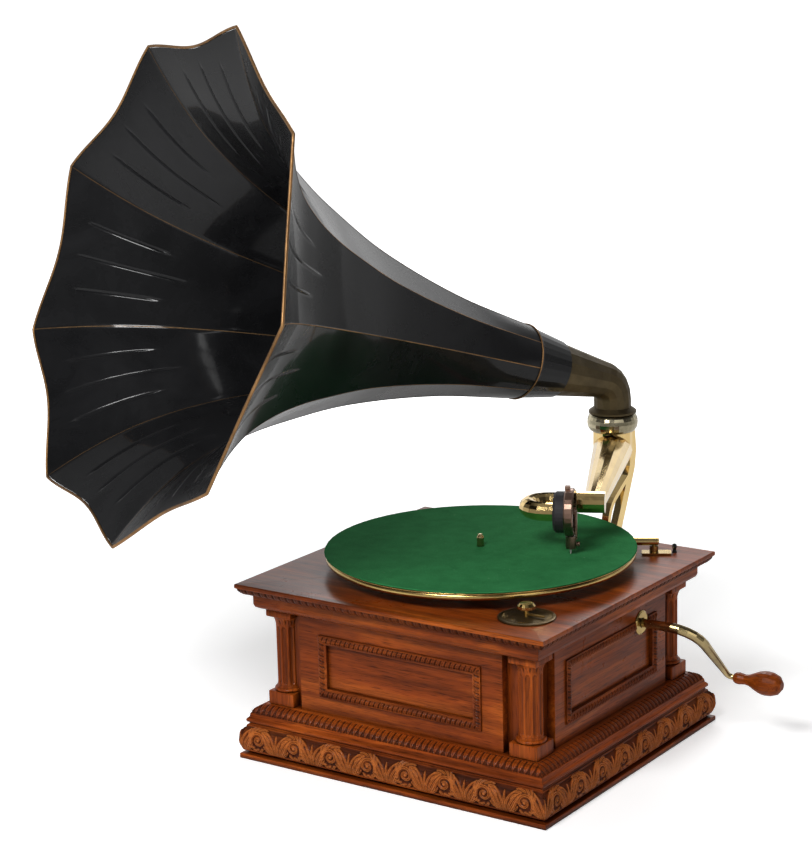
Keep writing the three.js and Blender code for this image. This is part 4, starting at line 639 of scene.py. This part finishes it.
# Share of the horn's run, and the share of the growth in radius reached there
FLARE = np.array([(0, 0), (0.1, 0.026), (0.2, 0.055), (0.3, 0.097), (0.4, 0.149), (0.5, 0.213), (0.6, 0.298),
                  (0.7, 0.395), (0.8, 0.524), (0.88, 0.665), (0.95, 0.84), (1, 1)])
PETALS, HORN_START, HORN_RUN, THROAT, MOUTH = 9, 124.6, 425.2, 38.5, 245.2
FIRST_SEAM = math.radians(-1.1)
SHEET, BEAD, RIM_GAP, RIB_WIDTH, SEAM_WIDTH = 1.2, 1.5, 0.15, 1.25, 0.6
RIBS = (0.26, 0.5, 0.74)


def flare(share):
    """Radius at a share of the horn's run: a smooth curve through the CAD's stations."""
    xs, ys = FLARE.T
    slope = np.gradient(ys, xs)
    slope[-1] = (ys[-1] - ys[-2]) / (xs[-1] - xs[-2]) * 1.15
    i = np.clip(np.searchsorted(xs, share, side="right") - 1, 0, len(xs) - 2)
    h = xs[i + 1] - xs[i]
    t = (share - xs[i]) / h
    value = ((1 + 2 * t) * (1 - t) ** 2 * ys[i] + t * (1 - t) ** 2 * h * slope[i]
             + t * t * (3 - 2 * t) * ys[i + 1] - t * t * (1 - t) * h * slope[i + 1])
    return THROAT + (MOUTH - THROAT) * value


def horn_points(share, run, radius, across):
    """Points of all petals for arrays [station, place across one petal]."""
    half = math.pi / PETALS
    flat = np.minimum(share / 0.15, 1)
    wave = np.maximum((share - 0.65) / 0.35, 0) ** 2
    belly = np.sin(np.pi * across) ** 1.7
    chord = radius * math.cos(half) / np.cos((2 * across - 1) * half)
    reach = radius + (chord - radius) * flat - 8.0 * wave * belly
    length = run - 4.5 * wave * belly
    petals = []
    for k in range(PETALS):
        angle = FIRST_SEAM + 2 * half * (k + across)
        petals.append(CORNER + length[..., None] * HEADING + (reach * np.cos(angle))[..., None] * SIDEWAYS
                      + (reach * np.sin(angle))[..., None] * UPWARDS)
    return np.concatenate(petals, axis=1)


def horn():
    """Nine-panel sheet horn with pressed ribs and folded seams, and the rolled rim round its mouth."""
    share = np.concatenate([np.linspace(0, 0.6, 26)[:-1], np.linspace(0.6, 1, 96)])[:, None]
    radius, run = flare(share), HORN_START + HORN_RUN * share
    width = 2 * radius * math.sin(math.pi / PETALS)
    near_seam = np.array([0.0, 0.42, 0.8, 2.0, 4.5])
    half_rib = np.array([0.006, 0.012, 0.019, 0.028, 0.042, 0.062])
    rib_spots = np.concatenate([-half_rib[::-1], [0.0], half_rib])
    spots = np.concatenate([[0.11, 0.16], *[rib + rib_spots for rib in RIBS], [0.84, 0.89]])
    across = [near_seam / width, spots + 0 * width, 1 - near_seam[:0:-1] / width]
    order = np.sort(np.concatenate(across, 1), 1)
    slope = np.gradient(radius[:, 0], run[:, 0])[:, None]
    lift = 1 / np.sqrt(1 + slope ** 2)
    press = np.zeros_like(order)
    for rib in RIBS:
        low, high = (0.75, 0.985) if rib == 0.5 else (0.79, 0.975)
        along = smooth(share, low, low + 0.05) * (1 - smooth(share, high - 0.025, high))
        press += along * np.exp(-((((order - rib) * width) / RIB_WIDTH) ** 2))
    seam = np.minimum(order, 1 - order) * width
    ridge = 0.3 * (seam < SEAM_WIDTH)
    sheets = []
    for inner in (False, True):
        thick = SHEET if inner else 0.0
        normal = 1.0 * press + (-0.45 * np.exp(-((seam / 1.1) ** 2)) if inner else ridge)
        r = radius - thick * lift + normal * lift
        length = run + thick * slope * lift * (share > 0) - normal * slope * lift
        sheets.append(horn_points(share + 0 * order, length + 0 * order, r + 0 * order, order))
    rows, columns = sheets[0].shape[:2]
    faces = np.concatenate([grid_faces(rows, columns, close_columns=True, start=start)
                            for start in (0, rows * columns)])
    rims = []
    for row in (0, rows - 1):
        a = row * columns + np.arange(columns)
        b = row * columns + (np.arange(columns) + 1) % columns
        rims.append(np.stack([a, b, b + rows * columns, a + rows * columns], 1))
    in_petal = np.arange(columns) % order.shape[1]
    gilded = (in_petal == 0) | (in_petal == order.shape[1] - 1)
    index = np.concatenate([np.tile(1 * gilded, rows - 1), np.tile(2 * gilded, rows - 1),
                            np.zeros(2 * columns, int)])
    mesh_piece("enamelled_horn", "horn", [ENAMEL, GILT, SEAM_GILT],
               np.concatenate([sheet.reshape(-1, 3) for sheet in sheets]), np.concatenate([faces, *rims]),
               ("horn",), index=index, sharp=24)
    angle = math.atan(slope[-1, 0])
    proud, half_sheet = BEAD + RIM_GAP, SHEET / 2
    middle_run = run[-1, 0] + proud * math.cos(angle) + half_sheet * math.sin(angle)
    middle_radius = radius[-1, 0] + proud * math.sin(angle) - half_sheet * math.cos(angle)
    bead = arc(middle_run, middle_radius, BEAD, BEAD, 0, 360, 14)[:-1]
    lengths, across = np.meshgrid(bead[:, 0], np.linspace(0, 1, 41)[:-1], indexing="ij")
    rings = horn_points(np.ones_like(lengths), lengths, bead[:, 1:] + 0 * lengths, across)
    mesh_piece("rolled_gilt_rim", "horn", [GILT], rings.reshape(-1, 3),
               grid_faces(len(bead), rings.shape[1], True, True), ("horn_rim",), sharp=60)


horn()


# Small pieces
def platter():
    """Turntable plate with a beaded top edge and a rounded, turned-down rim."""
    count = 360
    a = full_turn(count)
    profile = np.concatenate([
        [(3.8, 185.8), (15, 185.8), (15, 193.8), (147.2, 193.8), (149.0, 191.6), (148.9, 189.3)],
        arc(149.6, 191.7, 1.75, 2.6, -90, 62, 16), arc(150.3, 195.15, 1.1, 0.85, -60, 90, 8), [(3.8, 196.0)]])
    radius, height = profile[:, :1], profile[:, 1:]
    ring = np.stack([radius * np.cos(a), radius * np.sin(a) + SPINDLE_Y, height + 0 * a], -1)
    mesh_piece("turned_platter", "turntable", [RIM_BRASS], ring.reshape(-1, 3),
               grid_faces(len(profile), count, True, True), ("platter",), sharp=50)


def speed_plate():
    """Speed dial: a turned plate with a raised edge and a scale of engraved marks."""
    count, rings, marks = 720, 70, 48
    a = full_turn(count)
    r = np.concatenate([[0.3], np.linspace(2.6, DIAL_RADIUS, rings), [DIAL_RADIUS]])[:, None]
    step = 2 * np.pi / marks
    near = np.abs((a / step + 0.5) % 1.0 - 0.5) * step * r
    long_mark = (np.round(a / step) % 4 == 0)
    mark = (near < 0.28) * (r < 22.6) * (r > np.where(long_mark, 17.2, 20.0))
    rim = smooth(r, 23.6, 24.1) * (1 - smooth(r, 25.6, DIAL_RADIUS))
    z = DIAL_TOP + 0.35 * rim - 0.35 * mark
    z[-1] = BOARD_TOP
    points = np.stack([DIAL_PLACE[0] + r * np.cos(a), DIAL_PLACE[1] + r * np.sin(a), z], -1)
    mesh_piece("engraved_speed_plate", "case", [DIAL_BRASS], points.reshape(-1, 3),
               capped_faces(len(r), count), ("speed_dial",), mark.reshape(-1), sharp=40)


def horn_ring(name, run, radius, thick):
    """Thin gilt ring round the horn's axis."""
    count = 120
    a = full_turn(count)[:, None]
    section = arc(run, radius, thick, thick, 0, 360, 10)[:-1]
    outwards = np.cos(a) * SIDEWAYS + np.sin(a) * UPWARDS
    rings = np.array([CORNER + along * HEADING + away * outwards for along, away in section])
    mesh_piece(name, "horn", [GILT], rings.reshape(-1, 3),
               grid_faces(len(section), count, True, True), sharp=80)


platter()
horn_ring("gilt_sleeve_ring", 123.9, 39.0, 0.75)
speed_plate()

# Materials of the CAD pieces that are carried as they are
LOOKS = {"brass": BRASS, "steel": STEEL, "nickel": NICKEL, "bronze": BRONZE, "iron": IRON, "enamel": ENAMEL,
         "gilt": GILT, "olive_bronze": OLIVE, "felt": FELT, "rubber": RUBBER}
WOOD_GRAIN = {"front_wall": "x", "back_wall": "x", "left_wall": "y", "right_wall": "y", "bottom_board": "x",
              "cornice_front": "x", "cornice_back": "x", "cornice_left": "y", "cornice_right": "y"}
OWN = {"crank_handle": HANDLE_WOOD, "crank": CRANK_METAL, "speed_knob": RIM_BRASS,
       "brake_plate": OLD_BRASS, "escutcheon": OLD_BRASS, "stylus_bar": BRONZE, "needle_screw": BRONZE,
       "spindle": CRANK_METAL, "collar": COLLAR}
for name, node in nodes.items():
    for slot in node.material_slots:
        kind = slot.material.name.split(".")[0]
        if name in OWN:
            slot.material = OWN[name]
        elif kind in ("oak", "carved_oak"):
            slot.material = OAK[WOOD_GRAIN.get(name, "z")]
        else:
            slot.material = LOOKS[kind]


# Floor, light and camera, with places in metres
def floor():
    """Pale matt floor that turns to a white background away from the case, and shows as such in metal too."""
    s = Shader("pale_floor")
    shade = s.noise(2.0, detail=2)
    path = s.add("ShaderNodeLightPath").outputs
    pale = s.ramp(shade, (0.3, 0.93), (0.7, 0.95))
    s.set(Base_Color=pale, Roughness=0.9)
    s.bsdf.inputs["Specular IOR Level"].default_value = 0.1
    away = s.add("ShaderNodeVectorMath", {"operation": "LENGTH"})
    s.link(s.place, away.inputs[0])
    # Painted light: the floor glows for the camera, faintly near the case, which pales its shadow, and white
    # further out; metal and glass see a fifth of that glow
    painted_floor_glow = s.ramp(s.maths("MULTIPLY", away.outputs["Value"], 0.5), (0.20, 0.36), (0.75, 1.0))
    mirrored = s.maths("MAXIMUM", path["Is Glossy Ray"], path["Is Transmission Ray"])
    s.set(Emission_Color=painted_floor_glow,
          Emission_Strength=s.maths("MAXIMUM", path["Is Camera Ray"], s.maths("MULTIPLY", mirrored, 0.2)))
    bpy.ops.mesh.primitive_plane_add(size=60, location=(0, 0, 0))
    plane = bpy.context.object
    plane.name = "floor"
    plane.data.materials.append(s.material)


def area_light(name, place, target, size, power):
    """A white rectangular lamp of power watts at place, aimed at target."""
    data = bpy.data.lights.new(name, "AREA")
    data.shape, data.size, data.size_y, data.energy = "RECTANGLE", size[0], size[1], power
    light = bpy.data.objects.new(name, data)
    scene.collection.objects.link(light)
    light.location = place
    light.rotation_euler = (Vector(target) - Vector(place)).to_track_quat("-Z", "Y").to_euler()


def world():
    """White background for the camera and, on that side, in metal. The room's other sides are darker."""
    back = bpy.data.worlds.new("studio")
    scene.world = back
    back.use_nodes = True
    tree = back.node_tree
    tree.nodes.clear()
    out = tree.nodes.new("ShaderNodeOutputWorld")
    mix = tree.nodes.new("ShaderNodeMixShader")
    path = tree.nodes.new("ShaderNodeLightPath")
    white, room = tree.nodes.new("ShaderNodeBackground"), tree.nodes.new("ShaderNodeBackground")
    white.inputs[0].default_value, white.inputs[1].default_value = (1, 1, 1, 1), 1.0
    room.inputs[1].default_value = 1.0
    direction = tree.nodes.new("ShaderNodeTexCoord")

    def facing(axis, low, high, *stops):
        """Grey by how far a direction goes along axis, spread from low to high over the ramp."""
        dot = tree.nodes.new("ShaderNodeVectorMath")
        dot.operation = "DOT_PRODUCT"
        dot.inputs[1].default_value = axis
        span = tree.nodes.new("ShaderNodeMapRange")
        span.inputs["From Min"].default_value, span.inputs["From Max"].default_value = low, high
        shade = tree.nodes.new("ShaderNodeValToRGB")
        while len(shade.color_ramp.elements) < len(stops):
            shade.color_ramp.elements.new(1.0)
        for element, (spot, value) in zip(shade.color_ramp.elements, stops):
            element.position, element.color = spot, (value, value, value, 1)
        tree.links.new(direction.outputs["Generated"], dot.inputs[0])
        tree.links.new(dot.outputs["Value"], span.inputs[0])
        tree.links.new(span.outputs[0], shade.inputs[0])
        return shade.outputs[0]

    def times(a, b):
        node = tree.nodes.new("ShaderNodeMix")
        node.data_type, node.blend_type = "RGBA", "MULTIPLY"
        node.inputs[0].default_value = 1.0
        tree.links.new(a, node.inputs[6])
        tree.links.new(b, node.inputs[7])
        return node.outputs[2]

    def larger(a, b):
        node = tree.nodes.new("ShaderNodeMath")
        node.operation = "MAXIMUM"
        tree.links.new(a, node.inputs[0])
        tree.links.new(b, node.inputs[1])
        return node.outputs[0]

    away, rightwards, upwards = (-0.572, 0.820, 0), (0.820, 0.572, 0), (0, 0, 1)
    level = facing(upwards, 0, 1, (0.0, 1.0), (0.28, 0.95), (0.5, 0.34), (0.75, 0.30), (1.0, 0.5))
    behind = facing(away, -1, 1, (0.0, 0.26), (0.45, 0.34), (0.85, 1.0))
    beside = facing(rightwards, -0.08, 0.16, (0.0, 1.0), (1.0, 0.38))
    tree.links.new(times(times(level, behind), beside), room.inputs[0])
    backdrop = times(facing(away, -1, 1, (0.5, 0.0), (0.85, 1.0)),
                     facing(upwards, 0, 1, (0.28, 1.0), (0.5, 0.0)))
    mirrored = times(larger(path.outputs["Is Glossy Ray"], path.outputs["Is Transmission Ray"]), backdrop)
    tree.links.new(larger(path.outputs["Is Camera Ray"], mirrored), mix.inputs[0])
    tree.links.new(room.outputs[0], mix.inputs[1])
    tree.links.new(white.outputs[0], mix.inputs[2])
    tree.links.new(mix.outputs[0], out.inputs[0])


floor()
world()
area_light("key", (0.34, -2.19, 2.16), (-0.05, 0, 0.3), (0.8, 0.8), 50)
area_light("glint", (-0.18, -2.28, 2.13), (-0.05, 0, 0.3), (0.3, 0.42), 20)
area_light("fill", (2.6, -1.2, 1.3), (0, 0, 0.25), (1.4, 1.4), 10)
area_light("back", (-1.2, 2.4, 1.9), (0, 0, 0.3), (1.6, 1.0), 34)

scene.view_settings.view_transform = "Standard"

# The photograph's view, solved from the case's corners and the felt's edge
FOCAL_PIXELS, PHOTO_WIDTH, SENSOR = 2343.7, 812, 36
yaw, pitch, roll = math.radians(-34.88), math.radians(13.15), math.radians(-1.46)
right = np.array([math.cos(yaw), -math.sin(yaw), 0])
forward = np.array([math.sin(yaw) * math.cos(pitch), math.cos(yaw) * math.cos(pitch), -math.sin(pitch)])
above = np.array([math.sin(yaw) * math.sin(pitch), math.cos(yaw) * math.sin(pitch), math.cos(pitch)])
turned_right = right * math.cos(roll) + above * math.sin(roll)
turned_up = -right * math.sin(roll) + above * math.cos(roll)
lens = bpy.data.cameras.new("camera")
lens.sensor_fit, lens.sensor_width, lens.lens = "HORIZONTAL", SENSOR, SENSOR * FOCAL_PIXELS / PHOTO_WIDTH
lens.clip_end = 100
camera = bpy.data.objects.new("camera", lens)
scene.collection.objects.link(camera)
rotation = Matrix([[turned_right[i], turned_up[i], -forward[i]] for i in range(3)]).to_4x4()
camera.matrix_world = Matrix.Translation((1.1995, -1.8373, 0.8337)) @ rotation
scene.camera = camera
